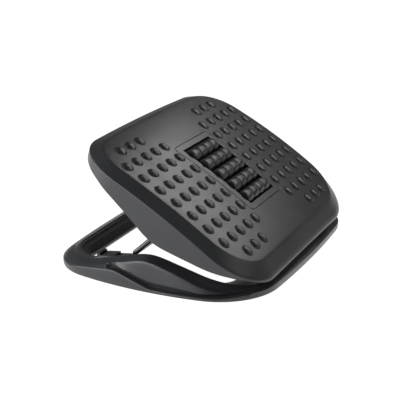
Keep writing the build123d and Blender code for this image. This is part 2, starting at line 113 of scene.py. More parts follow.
def skin(rows: np.ndarray, facing: Facing = Facing.OUTWARD) -> Surface:
    """Join closed rows of equal length by quads, each row to the next.

    Args:
        rows: Points by row and by place in the row.
        facing: Rows that run outward and then down face outward; the other way turns them.

    Returns:
        The skin between the first row and the last.
    """
    count, length, _ = rows.shape
    row, place = np.meshgrid(np.arange(count - 1), np.arange(length), indexing="ij")
    here = row * length + place
    beside = row * length + (place + 1) % length
    quads = np.stack([here, here + length, beside + length, beside], axis=-1).reshape(-1, 4)
    if facing is Facing.INWARD:
        quads = quads[:, ::-1]
    return Surface(rows.reshape(-1, 3), [quads])


def capped(rows: np.ndarray, facing: Facing = Facing.OUTWARD) -> Surface:
    """Skin of closed rows with a flat face over the first and the last row.

    Args:
        rows: Points by row and by place in the row.
        facing: Which way round the rows are joined.

    Returns:
        The closed solid.
    """
    body = skin(rows, facing)
    length = rows.shape[1]
    first = np.arange(length)
    last = np.arange(len(body.points) - length, len(body.points))
    if facing is Facing.OUTWARD:
        last = last[::-1]
    else:
        first = first[::-1]
    return Surface(body.points, body.faces + [first[None], last[None]])


def raised(ring: np.ndarray, height: np.ndarray | float) -> np.ndarray:
    """Ring of (x, y) points at a height, given once or for each point."""
    return np.column_stack([ring, np.broadcast_to(height, len(ring))])


def turned(radii: np.ndarray, heights: np.ndarray, around: int) -> np.ndarray:
    """Rows of a lathe shape about its own upright axis.

    A point is (radius cos a, radius sin a, height), with a in even steps round the circle.

    Args:
        radii: Radius of each row.
        heights: Height of each row.
        around: Points round the circle.

    Returns:
        Points by row and by place in the row.
    """
    angle = 2 * math.pi * np.arange(around) / around
    x = np.outer(radii, np.cos(angle))
    y = np.outer(radii, np.sin(angle))
    z = np.repeat(np.asarray(heights, float)[:, None], around, axis=1)
    return np.stack([x, y, z], axis=-1)


def half_circle(y: float, z: float, radius: float, start: float) -> np.ndarray:
    """Points on half a circle about (y, z), in even steps of its angle.

    Args:
        y: Centre's place along the depth.
        z: Centre's height.
        radius: Radius of the circle.
        start: Angle of the first point, in degrees from +Y towards +Z.

    Returns:
        (y, z) of each point.
    """
    angle = np.radians(np.linspace(start, start + 180, HALF_CIRCLE_POINTS))
    return np.column_stack([y + radius * np.cos(angle), z + radius * np.sin(angle)])


def prism(profile: np.ndarray, from_x: float, to_x: float, edge: float) -> Surface:
    """Solid with one outline across its width, its two end faces drawn in to round the edges.

    Args:
        profile: Outline as (y, z), anticlockwise seen from +X.
        from_x: One end.
        to_x: Other end.
        edge: Width of the rounded edge.

    Returns:
        The closed solid.
    """
    middle = profile.mean(axis=0)
    reach = np.abs(profile - middle).max()
    shares = np.array([1 - edge / reach, 1.0, 1.0, 1 - edge / reach])
    places = np.array([from_x, from_x + edge, to_x - edge, to_x])
    outlines = middle + shares[:, None, None] * (profile - middle)
    across = np.broadcast_to(places[:, None, None], outlines.shape[:2] + (1,))
    return capped(np.concatenate([across, outlines], axis=-1), Facing.INWARD)


def eased(values: np.ndarray) -> np.ndarray:
    """Smooth step from 0 to 1, three squares less two cubes, held outside that range."""
    held = np.clip(values, 0.0, 1.0)
    return held * held * (3 - 2 * held)


class Line:
    """Height along the depth of the object, read from a few places and softened.

    Args:
        softness: Spread of the softening.
        places: (y, z) pairs from the front to the back.
    """

    step = 0.5
    reach_in_spreads = 4

    def __init__(self, softness: float, *places: tuple[float, float]) -> None:
        """Sample the straight line between the places and run a bell-shaped mean over it.

        Args:
            softness: Spread of the bell.
            places: (y, z) pairs from the front to the back.
        """
        known = np.array(places)
        margin = self.reach_in_spreads * softness
        self.along = np.arange(known[0, 0] - margin, known[-1, 0] + margin, self.step)
        reach = np.arange(-margin, margin + self.step, self.step)
        bell = np.exp(-0.5 * (reach / softness) ** 2)
        sharp = np.interp(self.along, known[:, 0], known[:, 1])
        padded = np.pad(sharp, len(bell) // 2, mode="edge")
        self.height = np.convolve(padded, bell / bell.sum(), mode="valid")[: len(self.along)]

    def __call__(self, y: np.ndarray) -> np.ndarray:
        """Height at y."""
        return np.interp(y, self.along, self.height)


@dataclass(frozen=True)
class Plan:
    """Four-sided outline with bowed sides and round corners, seen from above.

    Args:
        half_front: Half width at the front corners.
        half_back: Half width at the back corners.
        front_y: Front corners' place.
        back_y: Back corners' place.
        bows: How far the front, the sides and the back stand out in their middles.
        corners: Corner radius at the front and at the back.
        per_side: Points on each side.
        per_corner: Points on each corner.
    """

    half_front: float
    half_back: float
    front_y: float
    back_y: float
    bows: Triple = (0.0, 0.0, 0.0)
    corners: tuple[float, float] = (10.0, 10.0)
    per_side: int = 72
    per_corner: int = 28

    least_corner: ClassVar[float] = 1.0

    def inset(self, width: float, front_y: float | None = None, back_share: float = 1.0) -> "Plan":
        """Smaller outline.

        Args:
            width: How far the sides and the back move in; the front too if front_y isn't given.
            front_y: Place of the smaller outline's front.
            back_share: Share of the width that the back moves in by.

        Returns:
            The outline, with corners that stay concentric where they can.
        """
        front_corner, back_corner = (max(corner - width, self.least_corner) for corner in self.corners)
        return Plan(
            self.half_front - width,
            self.half_back - width,
            self.front_y + width if front_y is None else front_y,
            self.back_y - width * back_share,
            self.bows,
            (front_corner, back_corner),
            self.per_side,
            self.per_corner,
        )

    def _sides(self) -> tuple[np.ndarray, list[tuple[np.ndarray, float]]]:
        """Find the arcs that the sides lie on.

        An arc's radius is a quarter of the chord squared, plus the bow squared, over twice the bow.

        Returns:
            The corner points, and the centre and radius of each side's arc.
        """
        corner = np.array(
            [
                [-self.half_front, self.front_y],
                [self.half_front, self.front_y],
                [self.half_back, self.back_y],
                [-self.half_back, self.back_y],
            ]
        )
        front_bow, side_bow, back_bow = self.bows
        arcs = []
        for index, bow in enumerate((front_bow, side_bow, back_bow, side_bow)):
            start = corner[index]
            end = corner[(index + 1) % 4]
            chord = end - start
            length = math.hypot(*chord)
            outward = np.array([chord[1], -chord[0]]) / length
            rise = max(bow, LEAST_BOW)
            radius = (length**2 / 4 + rise**2) / (2 * rise)
            arcs.append(((start + end) / 2 - outward * (radius - rise), radius))
        return corner, arcs

    def ring(self) -> np.ndarray:
        """Points round the outline, anticlockwise, from the front left corner.

        A corner's centre is where two sides' arcs, drawn in by the corner's radius, cross.

        Returns:
            (x, y) of each point.
        """
        corner, arcs = self._sides()
        radii = (self.corners[0], self.corners[0], self.corners[1], self.corners[1])
        centres = []
        arrivals = []
        leavings = []
        for index, radius in enumerate(radii):
            before, before_radius = arcs[index - 1]
            after, after_radius = arcs[index]
            apart = after - before
            distance = math.hypot(*apart)
            inner = before_radius - radius
            along = (inner**2 - (after_radius - radius) ** 2 + distance**2) / (2 * distance)
            aside = math.sqrt(max(inner**2 - along**2, 0.0))
            foot = before + along * apart / distance
            turn = np.array([-apart[1], apart[0]]) / distance
            options = (foot + aside * turn, foot - aside * turn)
            centre = min(options, key=lambda option: math.hypot(*(option - corner[index])))
            centres.append(centre)
            arrivals.append(before + before_radius * unit(centre - before))
            leavings.append(after + after_radius * unit(centre - after))
        pieces = []
        for index in range(4):
            pieces.append(arc(centres[index], arrivals[index], leavings[index], self.per_corner))
            end = arrivals[(index + 1) % 4]
            pieces.append(arc(arcs[index][0], leavings[index], end, self.per_side))
        return np.concatenate(pieces)


def unit(vector: np.ndarray) -> np.ndarray:
    """Vector of length one the same way."""
    return vector / np.linalg.norm(vector)


def arc(centre: np.ndarray, start: np.ndarray, end: np.ndarray, count: int) -> np.ndarray:
    """Points on an anticlockwise arc, without its end, in even steps of its angle.

    Args:
        centre: Middle of the circle.
        start: First point.
        end: Point after the last.
        count: Points on the arc.

    Returns:
        (x, y) of each point.
    """
    first = math.atan2(start[1] - centre[1], start[0] - centre[0])
    last = math.atan2(end[1] - centre[1], end[0] - centre[0])
    sweep = (last - first) % (2 * math.pi)
    angle = first + sweep * np.arange(count) / count
    radius = math.hypot(*(start - centre))
    return centre + radius * np.stack([np.cos(angle), np.sin(angle)], axis=-1)


def outward_of(ring: np.ndarray) -> np.ndarray:
    """Outward direction along a ring: across the line from the point before to the point after.

    Args:
        ring: (x, y) round the outline, anticlockwise.

    Returns:
        One vector of length one per point.
    """
    along = np.roll(ring, -1, axis=0) - np.roll(ring, 1, axis=0)
    across = np.stack([along[:, 1], -along[:, 0]], axis=-1)
    return across / np.linalg.norm(across, axis=1, keepdims=True)


def inside(points: np.ndarray, ring: np.ndarray) -> np.ndarray:
    """Which points lie inside a ring: a line to the right crosses its edges an odd number of times.

    Args:
        points: (x, y) of each point.
        ring: (x, y) round the outline.

    Returns:
        One truth value per point.
    """
    after = np.roll(ring, -1, axis=0)
    y = points[:, 1:2]
    straddles = (ring[:, 1] > y) != (after[:, 1] > y)
    rise = np.where(after[:, 1] == ring[:, 1], 1.0, after[:, 1] - ring[:, 1])
    crossing = ring[:, 0] + (y - ring[:, 1]) / rise * (after[:, 0] - ring[:, 0])
    return (straddles & (points[:, 0:1] < crossing)).sum(axis=1) % 2 == 1


def on_sheet(points: np.ndarray, outline: np.ndarray, holes: list[np.ndarray]) -> np.ndarray:
    """Which points lie inside an outline and in none of its holes.

    Args:
        points: (x, y) of each point.
        outline: Ring round the sheet.
        holes: Rings of the holes.

    Returns:
        One truth value per point.
    """
    kept = inside(points, outline)
    for hole in holes:
        kept &= ~inside(points, hole)
    return kept


def pierced_sheet(outline: np.ndarray, holes: list[np.ndarray], spacing: float) -> Surface:
    """Flat triangulated sheet inside an outline, with holes left open.

    Even grid points inside the sheet keep its triangles small enough to follow a curve.

    Args:
        outline: Ring round the sheet.
        holes: Rings of the holes.
        spacing: Distance between grid points.

    Returns:
        The sheet at height 0, facing up.
    """
    low = outline.min(axis=0)
    high = outline.max(axis=0)
    across = np.arange(low[0], high[0], spacing)
    along = np.arange(low[1], high[1], spacing)
    grid = np.stack(np.meshgrid(across, along, indexing="ij"), axis=-1).reshape(-1, 2)
    rings = [outline] + holes
    edge_points = np.concatenate(rings)
    kept = grid[on_sheet(grid, outline, holes)]
    apart = np.hypot(kept[:, :1] - edge_points[:, 0], kept[:, 1:] - edge_points[:, 1])
    kept = kept[apart.min(axis=1) > spacing * GRID_MARGIN]
    edges = []
    start = 0
    for ring in rings:
        numbers = start + np.arange(len(ring))
        edges.extend(np.stack([numbers, np.roll(numbers, -1)], axis=-1).tolist())
        start += len(ring)
    places = [Vector(point) for point in np.concatenate([edge_points, kept]).tolist()]
    found = delaunay_2d_cdt(places, edges, [], HULL_TRIANGLES, TRIANGLE_TOLERANCE)
    points = np.array([list(point) for point in found[0]])
    triangles = np.array(found[2])
    corners = points[triangles]
    first = corners[:, 1] - corners[:, 0]
    second = corners[:, 2] - corners[:, 0]
    clockwise = first[:, 0] * second[:, 1] - first[:, 1] * second[:, 0] < 0
    triangles[clockwise] = triangles[clockwise][:, ::-1]
    wanted = on_sheet(corners.mean(axis=1), outline, holes)
    return Surface(raised(points, 0.0), [triangles[wanted]])


# Materials


def colour_of(code: str) -> tuple[float, float, float, float]:
    """Linear colour of an sRGB code.

    A channel up to 0.04045 is divided by 12.92. A brighter one, plus 0.055 and divided by 1.055,
    is raised to the power 2.4.

    Args:
        code: Six digits after a hash sign, such as #2b2c2e.

    Returns:
        Red, green, blue and a full alpha.
    """
    parts = [int(code[start : start + 2], 16) / 255 for start in (1, 3, 5)]
    linear = [part / 12.92 if part <= 0.04045 else ((part + 0.055) / 1.055) ** 2.4 for part in parts]
    return (*linear, 1.0)


class Nodes:
    """Node tree of one material, with one way to add a node to it.

    Args:
        tree: The tree to fill.
    """

    def __init__(self, tree: bpy.types.NodeTree) -> None:
        """Start with an empty tree."""
        self.tree = tree
        tree.nodes.clear()

    def add(
        self, kind: str, inputs: dict[str | int, object] | None = None, **settings: object
    ) -> bpy.types.Node:
        """Add one node.

        Args:
            kind: Node type without its ShaderNode prefix.
            inputs: Value or source socket of each input, by name or number.
            settings: Properties of the node itself.

        Returns:
            The node.
        """
        node = self.tree.nodes.new("ShaderNode" + kind)
        for name, value in settings.items():
            setattr(node, name, value)
        for name, value in (inputs or {}).items():
            socket = node.inputs[name]
            if isinstance(value, bpy.types.NodeSocket):
                self.tree.links.new(value, socket)
            else:
                socket.default_value = value
        return node


@dataclass(frozen=True)
class Finish:
    """One material: its colour and shine, the fine relief its making leaves, and a painted highlight along
    its edges.

    Args:
        name: Material name, which says what it is and how it is made.
        slot: The part's finish slot it stands for; not used.
        colour: Main colour as an sRGB code.
        shade: Darker colour of the broad, soft variation.
        roughness: Mean roughness.
        roughness_spread: How far the roughness varies.
        grain: Size of the surface's fine grains, in millimetres, drawn coarser than real so that it shows.
        relief: Height of the grain, in millimetres.
        stretch: How far the grain is drawn out along X, as a factor.
        ior: Refractive index.
        metallic: 1 for bare metal.
        coat: Weight of a clear top coat.
        edge_highlight_lift: How much lighter the painted edge highlight makes the colour, as a factor.
        edge_highlight_width: Width of the painted edge highlight, in millimetres.
    """

    name: str
    slot: str
    colour: str
    shade: str
    roughness: float
    roughness_spread: float
    grain: float
    relief: float
    stretch: float = 1.0
    ior: float = 1.5
    metallic: float = 0.0
    coat: float = 0.0
    edge_highlight_lift: float = 1.25
    edge_highlight_width: float = 0.8

    patch_size: ClassVar[float] = 45.0
    patch_range: ClassVar[tuple[float, float]] = (0.3, 0.7)
    edge_highlight_likeness: ClassVar[float] = 0.8

    def material(self) -> bpy.types.Material:
        """The finish as a procedural material, made once.

        The grain breaks up the highlights, the broad patches keep large faces from reading as one
        flat tone, and a painted highlight draws a thin lighter line where two faces meet.

        Returns:
            The material.
        """
        known = bpy.data.materials.get(self.name)
        if known is not None:
            return known
        made = bpy.data.materials.new(self.name)
        made.use_nodes = True
        made.diffuse_color = colour_of(self.colour)
        nodes = Nodes(made.node_tree)
        place = nodes.add("TexCoord").outputs["Object"]
        drawn = nodes.add("Mapping", {"Vector": place, "Scale": (1 / self.stretch, 1.0, 1.0)})
        grain = nodes.add(
            "TexNoise",
            {
                "Vector": drawn.outputs["Vector"],
                "Scale": 1 / (self.grain * MM),
                "Detail": 2.0,
                "Roughness": 0.6,
            },
        )
        patches = nodes.add(
            "TexNoise",
            {"Vector": place, "Scale": 1 / (self.patch_size * MM), "Detail": 3.0, "Roughness": 0.55},
        )
        tone = nodes.add(
            "Mix",
            {
                "Factor": patches.outputs["Fac"],
                MIX_FIRST_COLOUR: colour_of(self.shade),
                MIX_SECOND_COLOUR: colour_of(self.colour),
            },
            data_type="RGBA",
        )
        bump = nodes.add(
            "Bump",
            {"Height": grain.outputs["Fac"], "Distance": self.relief * MM, "Strength": 1.0},
        )
        shine = nodes.add(
            "MapRange",
            {
                "Value": patches.outputs["Fac"],
                "From Min": self.patch_range[0],
                "From Max": self.patch_range[1],
                "To Min": self.roughness - self.roughness_spread,
                "To Max": self.roughness + self.roughness_spread,
            },
        )
        # Painted highlight: the colour is made lighter along edges, where the rounded normal turns away
        # from the face's own
        geometry = nodes.add("NewGeometry")
        softened = nodes.add("Bevel", {"Radius": self.edge_highlight_width * MM}, samples=4)
        likeness = nodes.add(
            "VectorMath",
            {0: softened.outputs["Normal"], 1: geometry.outputs["Normal"]},
            operation="DOT_PRODUCT",
        )
        edge = nodes.add(
            "MapRange",
            {
                "Value": likeness.outputs["Value"],
                "From Min": 1.0,
                "From Max": self.edge_highlight_likeness,
                "To Min": 1.0,
                "To Max": self.edge_highlight_lift,
            },
        )
        edge_highlighted = nodes.add(
            "VectorMath",
            {0: tone.outputs[MIX_COLOUR_RESULT], "Scale": edge.outputs["Result"]},
            operation="SCALE",
        )
        shader = nodes.add(
            "BsdfPrincipled",
            {
                "Base Color": edge_highlighted.outputs["Vector"],
                "Metallic": self.metallic,
                "Roughness": shine.outputs["Result"],
                "IOR": self.ior,
                "Coat Weight": self.coat,
                "Normal": bump.outputs["Normal"],
            },
        )
        nodes.add("OutputMaterial", {"Surface": shader.outputs["BSDF"]})
        return made


# Spark-eroded moulds leave a fine dull grain: broad soft highlights with a slight sparkle
MOULDED = Finish(
    name="polypropylene_spark_eroded_mould",
    slot="charcoal_plastic",
    colour="#303133",
    shade="#292a2c",
    roughness=0.33,
    roughness_spread=0.03,
    grain=0.9,
    relief=0.05,
    ior=1.49,
)
# Polished tools give the rollers a satin face that shows a clear highlight on each ring
ROLLER = Finish(
    name="acetal_satin_moulded",
    slot="roller_plastic",
    colour="#232425",
    shade="#1e1f20",
    roughness=0.34,
    roughness_spread=0.03,
    grain=0.7,
    relief=0.015,
    ior=1.48,
)
# Moulded rubber is darker and duller than the plate: a soft highlight on each nub
RUBBER = Finish(
    name="thermoplastic_rubber_moulded",
    slot="black_rubber",
    colour="#1d1e1f",
    shade="#18191a",
    roughness=0.38,
    roughness_spread=0.04,
    grain=0.6,
    relief=0.02,
    ior=1.52,
    edge_highlight_lift=1.1,
)
# Drawn wire under a gloss black coat: a narrow light streak between black bands
WIRE = Finish(
    name="steel_wire_drawn_black_coat",
    slot="black_wire",
    colour="#1c1c1d",
    shade="#171718",
    roughness=0.2,
    roughness_spread=0.03,
    grain=0.5,
    relief=0.006,
    coat=0.4,
)
# Barrel-plated zinc on turned steel: pale grey metal with fine marks along it
ZINC = Finish(
    name="steel_turned_zinc_plated",
    slot="plated_steel",
    colour="#b9bcc0",
    shade="#9fa3a8",
    roughness=0.32,
    roughness_spread=0.06,
    grain=0.4,
    relief=0.008,
    stretch=6.0,
    metallic=1.0,
    edge_highlight_lift=1.05,
)


def add_piece(name: str, surface: Surface, finish: Finish, sharp_angle: float = 42.0) -> bpy.types.Object:
    """Make an object of a finished surface, weld its seams and dress it.

    Args:
        name: Name of the object.
        surface: Its surface in the object's frame, in millimetres.
        finish: Its material.
        sharp_angle: Edges that turn by more than this stay crisp, in degrees.

    Returns:
        The object, linked to the scene.
    """
    mesh = bpy.data.meshes.new(name)
    faces = [face for block in surface.faces for face in block.tolist()]
    mesh.from_pydata((surface.points * MM).tolist(), [], faces)
    work = bmesh.new()
    work.from_mesh(mesh)
    bmesh.ops.remove_doubles(work, verts=work.verts, dist=WELD_DISTANCE * MM)
    work.to_mesh(mesh)
    work.free()
    mesh.validate()
    mesh.shade_smooth()
    mesh.set_sharp_from_angle(angle=math.radians(sharp_angle))
    mesh.materials.append(finish.material())
    made = bpy.data.objects.new(name, mesh)
    bpy.context.scene.collection.objects.link(made)
    return made


# Pieces


@dataclass(frozen=True)
class PlateFrame:
    """Tilted frame of the foot plate, with its origin at the middle of the arched top.

    Args:
        centre_y: Origin's place along the depth.
        centre_z: Origin's height.
        tilt: Tilt of the plate, in degrees.
        arch_radius: Radius of the arch, front to back.
    """

    centre_y: float = -38.4
    centre_z: float = 127.6
    tilt: float = 31.4
    arch_radius: float = 1129.0

    def arch(self, y: np.ndarray | float, depth: float = 0.0) -> np.ndarray:
        """Height at y of a circle of the arch's radius less a depth, from the arch's highest point."""
        return np.sqrt((self.arch_radius - depth) ** 2 - np.asarray(y) ** 2) - self.arch_radius

    def on_arch(self, ring: np.ndarray, depth: float = 0.0) -> np.ndarray:
        """Ring of (x, y) points laid on the arch at a depth below the top face."""
        return raised(ring, self.arch(ring[:, 1], depth))

    def placed(self, points: np.ndarray) -> np.ndarray:
        """Turn points by the tilt about X and move them to the frame's origin.

        Args:
            points: (x, y, z) with y up the plate and z out of its top.

        Returns:
            The same points in the object's frame.
        """
        angle = math.radians(self.tilt)
        y = self.centre_y + points[..., 1] * math.cos(angle) - points[..., 2] * math.sin(angle)
        z = self.centre_z + points[..., 1] * math.sin(angle) + points[..., 2] * math.cos(angle)
        return np.stack([points[..., 0], y, z], axis=-1)


@dataclass(frozen=True)
class NubField:
    """Places of the massage nubs: two zones beside the rollers, end rows without corner nubs.

    Args:
        zone_x: Middle of a zone.
        pitch: Distance between nubs.
        columns: Nubs across a zone.
        rows: Nubs along a zone.
    """

    zone_x: float = 128.6
    pitch: float = 29.0
    columns: int = 5
    rows: int = 9

    def places(self, side: int) -> np.ndarray:
        """Even grid about the middle of one zone, less its four corners.

        Args:
            side: -1 for the left zone, 1 for the right one.

        Returns:
            (x, y) of each nub.
        """
        column, row = np.meshgrid(np.arange(self.columns), np.arange(self.rows), indexing="ij")
        end_row = (row == 0) | (row == self.rows - 1)
        end_column = (column == 0) | (column == self.columns - 1)
        x = side * self.zone_x + (column - (self.columns - 1) / 2) * self.pitch
        y = (row - (self.rows - 1) / 2) * self.pitch
        return np.stack([x, y], axis=-1)[~(end_row & end_column)]


@dataclass(frozen=True)
class RimRow:
    """One row of the plate's rolled rim.

    Args:
        inset: How far it stands in from the widest line.
        front_y: Its front line.
        side_drop: Its drop below the arch at the sides and the back.
        front_drop: Its drop at the front.
    """

    inset: float
    front_y: float
    side_drop: float
    front_drop: float


@dataclass
class FootPlate:
    """Arched shell with a rolled rim, side skirts, nub holes and the cut-out of the roller tray.

    Args:
        base: The plate's frame.
        nubs: Places of the nub holes.
        plan: Outline at the widest line.
        wall: Shell thickness.
        rim: Rows from the top face's edge to the widest line.
        back_share: Share of a rim row's inset at the back.
        under_rim: How far the skirt's foot stands in under the rim.
        front_draw: How far the skirt's front draws in on its way down.
        skirt_shares: Rows of the skirt, as shares of its height.
        hem: Rows round the skirt's foot: inset past the foot's, front line and lift.
        lining: Rows up the inside: inset, front line and depth below the top face.
        sheet_hole: Radius left open in the sheet for a nub hole's edge.
        dish: Radius and depth of each row of a nub hole's dished edge.
        cut_half: Half width and half length of the tray's cut-out.
        cut_corner: Its corner radius.
        cut_wall: Growth and depth of each row of its edge, its wall and the shelf under the bezel.
        spacing: Distance between the sheet's grid points.
        around: Points round a nub hole.
        root_depth: Depth at which ribs and bosses start inside the wall.
        rib_bottom: Height of the ribs' lower edge.
        rib_thickness: Rib thickness.
        side_rib: Place and half length of a side rib.
        cross_rib: Place and half length of a cross rib.
        stub_rib: Place and inner end of a stub rib, which runs on to the cross rib.
        hinge: Pin's place and height in the plate's frame.
        ear_x: Middle of a hinge ear.
        ear_width: Ear width.
        ear_radius: Radius of its round end.
        ear_roots: Heights of its back and front roots in the plate.
        boss_radius: Radius of a screw boss.
        boss_edge: Its broken edge.
        screw_radius: Radius of the screw hole.
        mat_boss: Place of a mat's bosses from the middle of its zone, and their seat.
        clip_boss_x: Place of the clips' bosses across the plate.
        clip_boss_ys: Their places along it.
        clip_boss_seat: Their seat.
        tray_boss: Place of the tray's bosses, and their seat.
    """

    base: PlateFrame
    nubs: NubField
    plan: Plan = Plan(221.0, 217.0, -167.0, 157.5, (0.0, 4.0, 6.0), (85.0, 78.0))
    wall: float = 3.0
    rim: tuple[RimRow, ...] = (
        RimRow(18.2, -138.0, 0.0, 0.0),
        RimRow(17.2, -139.2, 0.08, 0.1),
        RimRow(16.3, -140.6, 0.5, 0.45),
        RimRow(12.4, -146.0, 3.1, 2.5),
        RimRow(8.4, -152.0, 5.75, 4.8),
        RimRow(4.4, -158.5, 8.4, 7.2),
        RimRow(1.3, -164.3, 10.4, 9.3),
        RimRow(0.4, -166.2, 11.1, 10.6),
        RimRow(0.0, -167.0, 11.9, 12.6),
    )
    back_share: float = 0.84
    under_rim: float = 2.5
    front_draw: float = 2.0
    skirt_shares: tuple[float, ...] = (0.04, 0.12, 0.3, 0.5, 0.7, 0.9, 0.97)
    hem: tuple[Triple, ...] = ((0.2, -164.6, 0.0), (0.8, -163.8, -0.35), (3.0, -152.0, -0.2))
    lining: tuple[Triple, ...] = ((5.7, -150.0, 13.0), (11.0, -146.0, 8.5), (18.2, -138.0, 3.0))
    sheet_hole: float = 10.2
    dish: Places = (
        (9.75, 0.0), (9.5, 0.0), (9.36, 0.06), (9.2, 0.25), (9.1, 0.6), (9.05, 1.2), (9.05, 3.0)
    )
    cut_half: tuple[float, float] = (59.0, 76.4)
    cut_corner: float = 9.0
    cut_wall: Places = (
        (1.1, 0.0), (0.7, 0.0), (0.5, 0.0), (0.15, 0.15), (0.0, 0.6),
        (0.0, 3.1), (-6.0, 3.2), (-6.0, 4.4), (1.1, 4.4), (1.1, 3.0),
    )
    spacing: float = 7.0
    around: int = 24
    root_depth: float = 2.0
    rib_bottom: float = -20.0
    rib_thickness: float = 2.5
    side_rib: tuple[float, float] = (200.0, 85.0)
    cross_rib: tuple[float, float] = (134.0, 152.0)
    stub_rib: tuple[float, float] = (30.0, 93.3)
    hinge: tuple[float, float] = (-147.38, -34.93)
    ear_x: float = 120.0
    ear_width: float = 10.0
    ear_radius: float = 8.0
    ear_roots: tuple[float, float] = (-10.2, -14.5)
    boss_radius: float = 4.0
    boss_edge: float = 0.3
    screw_radius: float = 1.75
    mat_boss: Triple = (50.0, 108.0, -10.86)
    clip_boss_x: float = 171.1
    clip_boss_ys: tuple[float, float] = (-29.0, 0.0)
    clip_boss_seat: float = -6.2
    tray_boss: Triple = (30.0, 84.0, -8.65)

    least_skirt: ClassVar[float] = 1.0
    least_lining: ClassVar[float] = 0.5
    rib_steps: ClassVar[int] = 16
    boss_around: ClassVar[int] = 20
    cross_rib_edge: ClassVar[float] = 0.3
    ear_edge: ClassVar[float] = 0.6
    skirt_foot: ClassVar[Line] = Line(
        5.0,
        (-170.0, -24.5), (-130.0, -27.0), (-40.0, -49.5), (-22.0, -53.8), (-6.0, -55.5),
        (12.0, -53.6), (30.0, -48.5), (110.0, -34.0), (160.0, -33.0),
    )

    def rim_rows(self) -> np.ndarray:
        """Rows from the top face's edge over the rolled rim, down the skirt and back up inside.

        A row is the plan drawn in by its own width; its height is the arch less a drop that
        goes over from the sides' to the front's as the outline turns to the front.

        Returns:
            Points by row and by place in the row, in the plate's frame.
        """
        widest = self.plan.ring()
        frontness = eased(-outward_of(widest)[:, 1])
        rows = []
        for rim_row in self.rim:
            ring = self.plan.inset(rim_row.inset, rim_row.front_y, self.back_share).ring()
            drop = rim_row.side_drop + (rim_row.front_drop - rim_row.side_drop) * frontness
            rows.append(raised(ring, self.base.arch(ring[:, 1]) - drop))
        rim_foot = rows[-1][:, 2]
        foot = np.minimum(self.skirt_foot(widest[:, 1]), rim_foot - self.least_skirt)
        for share in self.skirt_shares:
            front_y = self.plan.front_y + self.front_draw * share
            ring = self.plan.inset(self.under_rim * share, front_y).ring()
            rows.append(raised(ring, rim_foot + (foot - rim_foot) * share))
        for past_foot, front_y, lift in self.hem:
            ring = self.plan.inset(self.under_rim + past_foot, front_y).ring()
            rows.append(raised(ring, foot + lift))
        inner_foot = rows[-1][:, 2]
        for inset, front_y, depth in self.lining:
            ring = self.plan.inset(inset, front_y, self.back_share).ring()
            height = np.maximum(self.base.arch(ring[:, 1], depth), inner_foot + self.least_lining)
            rows.append(raised(ring, height))
        rows[-1][:, 2] = self.base.arch(rows[-1][:, 1], self.wall)
        return np.array(rows)

    def cut_out(self, growth: float) -> np.ndarray:
        """Outline of the tray's cut-out.

        Args:
            growth: How far it is grown on all sides.

        Returns:
            (x, y) of each point.
        """
        half_x, half_y = (half + growth for half in self.cut_half)
        corners = (self.cut_corner + growth, self.cut_corner + growth)
        return Plan(half_x, half_x, -half_y, half_y, corners=corners, per_side=16, per_corner=8).ring()

    def circle(self, centre: np.ndarray, radius: float) -> np.ndarray:
        """Ring round one nub."""
        return turned(np.array([radius]), np.zeros(1), self.around)[0, :, :2] + centre

    def nub_hole(self, centre: np.ndarray) -> Surface:
        """Edge of one nub hole, from the sheet's top down its dished rows and out to its underside.

        Args:
            centre: (x, y) of the nub.

        Returns:
            The ring of surface between the sheet's two faces.
        """
        rows = []
        for radius, depth in ((self.sheet_hole, 0.0),) + self.dish:
            ring = self.circle(centre, radius)
            rows.append(raised(ring, self.base.arch(ring[:, 1]) - depth))
        rows.append(self.base.on_arch(self.circle(centre, self.sheet_hole), self.wall))
        return skin(np.array(rows), Facing.INWARD)

    def top_and_underside(self) -> Surface:
        """Both faces of the pierced arched sheet, with the nub holes' edges and the cut-out's wall.

        The sheet is flat first; each face's height is then the arch at its own depth.

        Returns:
            The surface in the plate's frame, open along the rim.
        """
        edge = self.rim[0]
        outline = self.plan.inset(edge.inset, edge.front_y, self.back_share).ring()
        centres = np.concatenate([self.nubs.places(side) for side in SIDES])
        holes = [self.circle(centre, self.sheet_hole) for centre in centres]
        holes.append(self.cut_out(self.cut_wall[0][0]))
        sheet = pierced_sheet(outline, holes, self.spacing)
        flat = sheet.points[:, :2]
        top = Surface(self.base.on_arch(flat), sheet.faces)
        under = Surface(self.base.on_arch(flat, self.wall), [block[:, ::-1] for block in sheet.faces])
        wall_rows = [self.base.on_arch(self.cut_out(growth), depth) for growth, depth in self.cut_wall]
        wall = skin(np.array(wall_rows), Facing.INWARD)
        return joined([top, under, wall] + [self.nub_hole(centre) for centre in centres])

    def ribs(self) -> Surface:
        """Stiffening ribs under the sheet: plates whose upper edge follows the arch.

        Returns:
            Side, stub and cross ribs, each a closed solid.
        """
        half = self.rib_thickness / 2
        side_x, side_half = self.side_rib
        cross_y, cross_half = self.cross_rib
        stub_x, stub_end = self.stub_rib
        spans = [(side * side_x, -side_half, side_half) for side in SIDES]
        spans += [(side * stub_x, stub_end, cross_y) for side in SIDES]
        spans += [(side * stub_x, -cross_y, -stub_end) for side in SIDES]
        plates = []
        for x, start, end in spans:
            y = np.linspace(start, end, self.rib_steps)
            top = self.base.arch(y, self.root_depth)
            low = np.full_like(y, self.rib_bottom)
            corners = ((x - half, low), (x + half, low), (x + half, top), (x - half, top))
            lines = [np.column_stack([np.full_like(y, place), y, z]) for place, z in corners]
            plates.append(capped(np.stack(lines, axis=1), Facing.OUTWARD))
        for y in (-cross_y, cross_y):
            top = float(self.base.arch(y, self.root_depth))
            low = self.rib_bottom
            profile = np.array([[y - half, low], [y + half, low], [y + half, top], [y - half, top]])
            plates.append(prism(profile, -cross_half, cross_half, self.cross_rib_edge))
        return joined(plates)

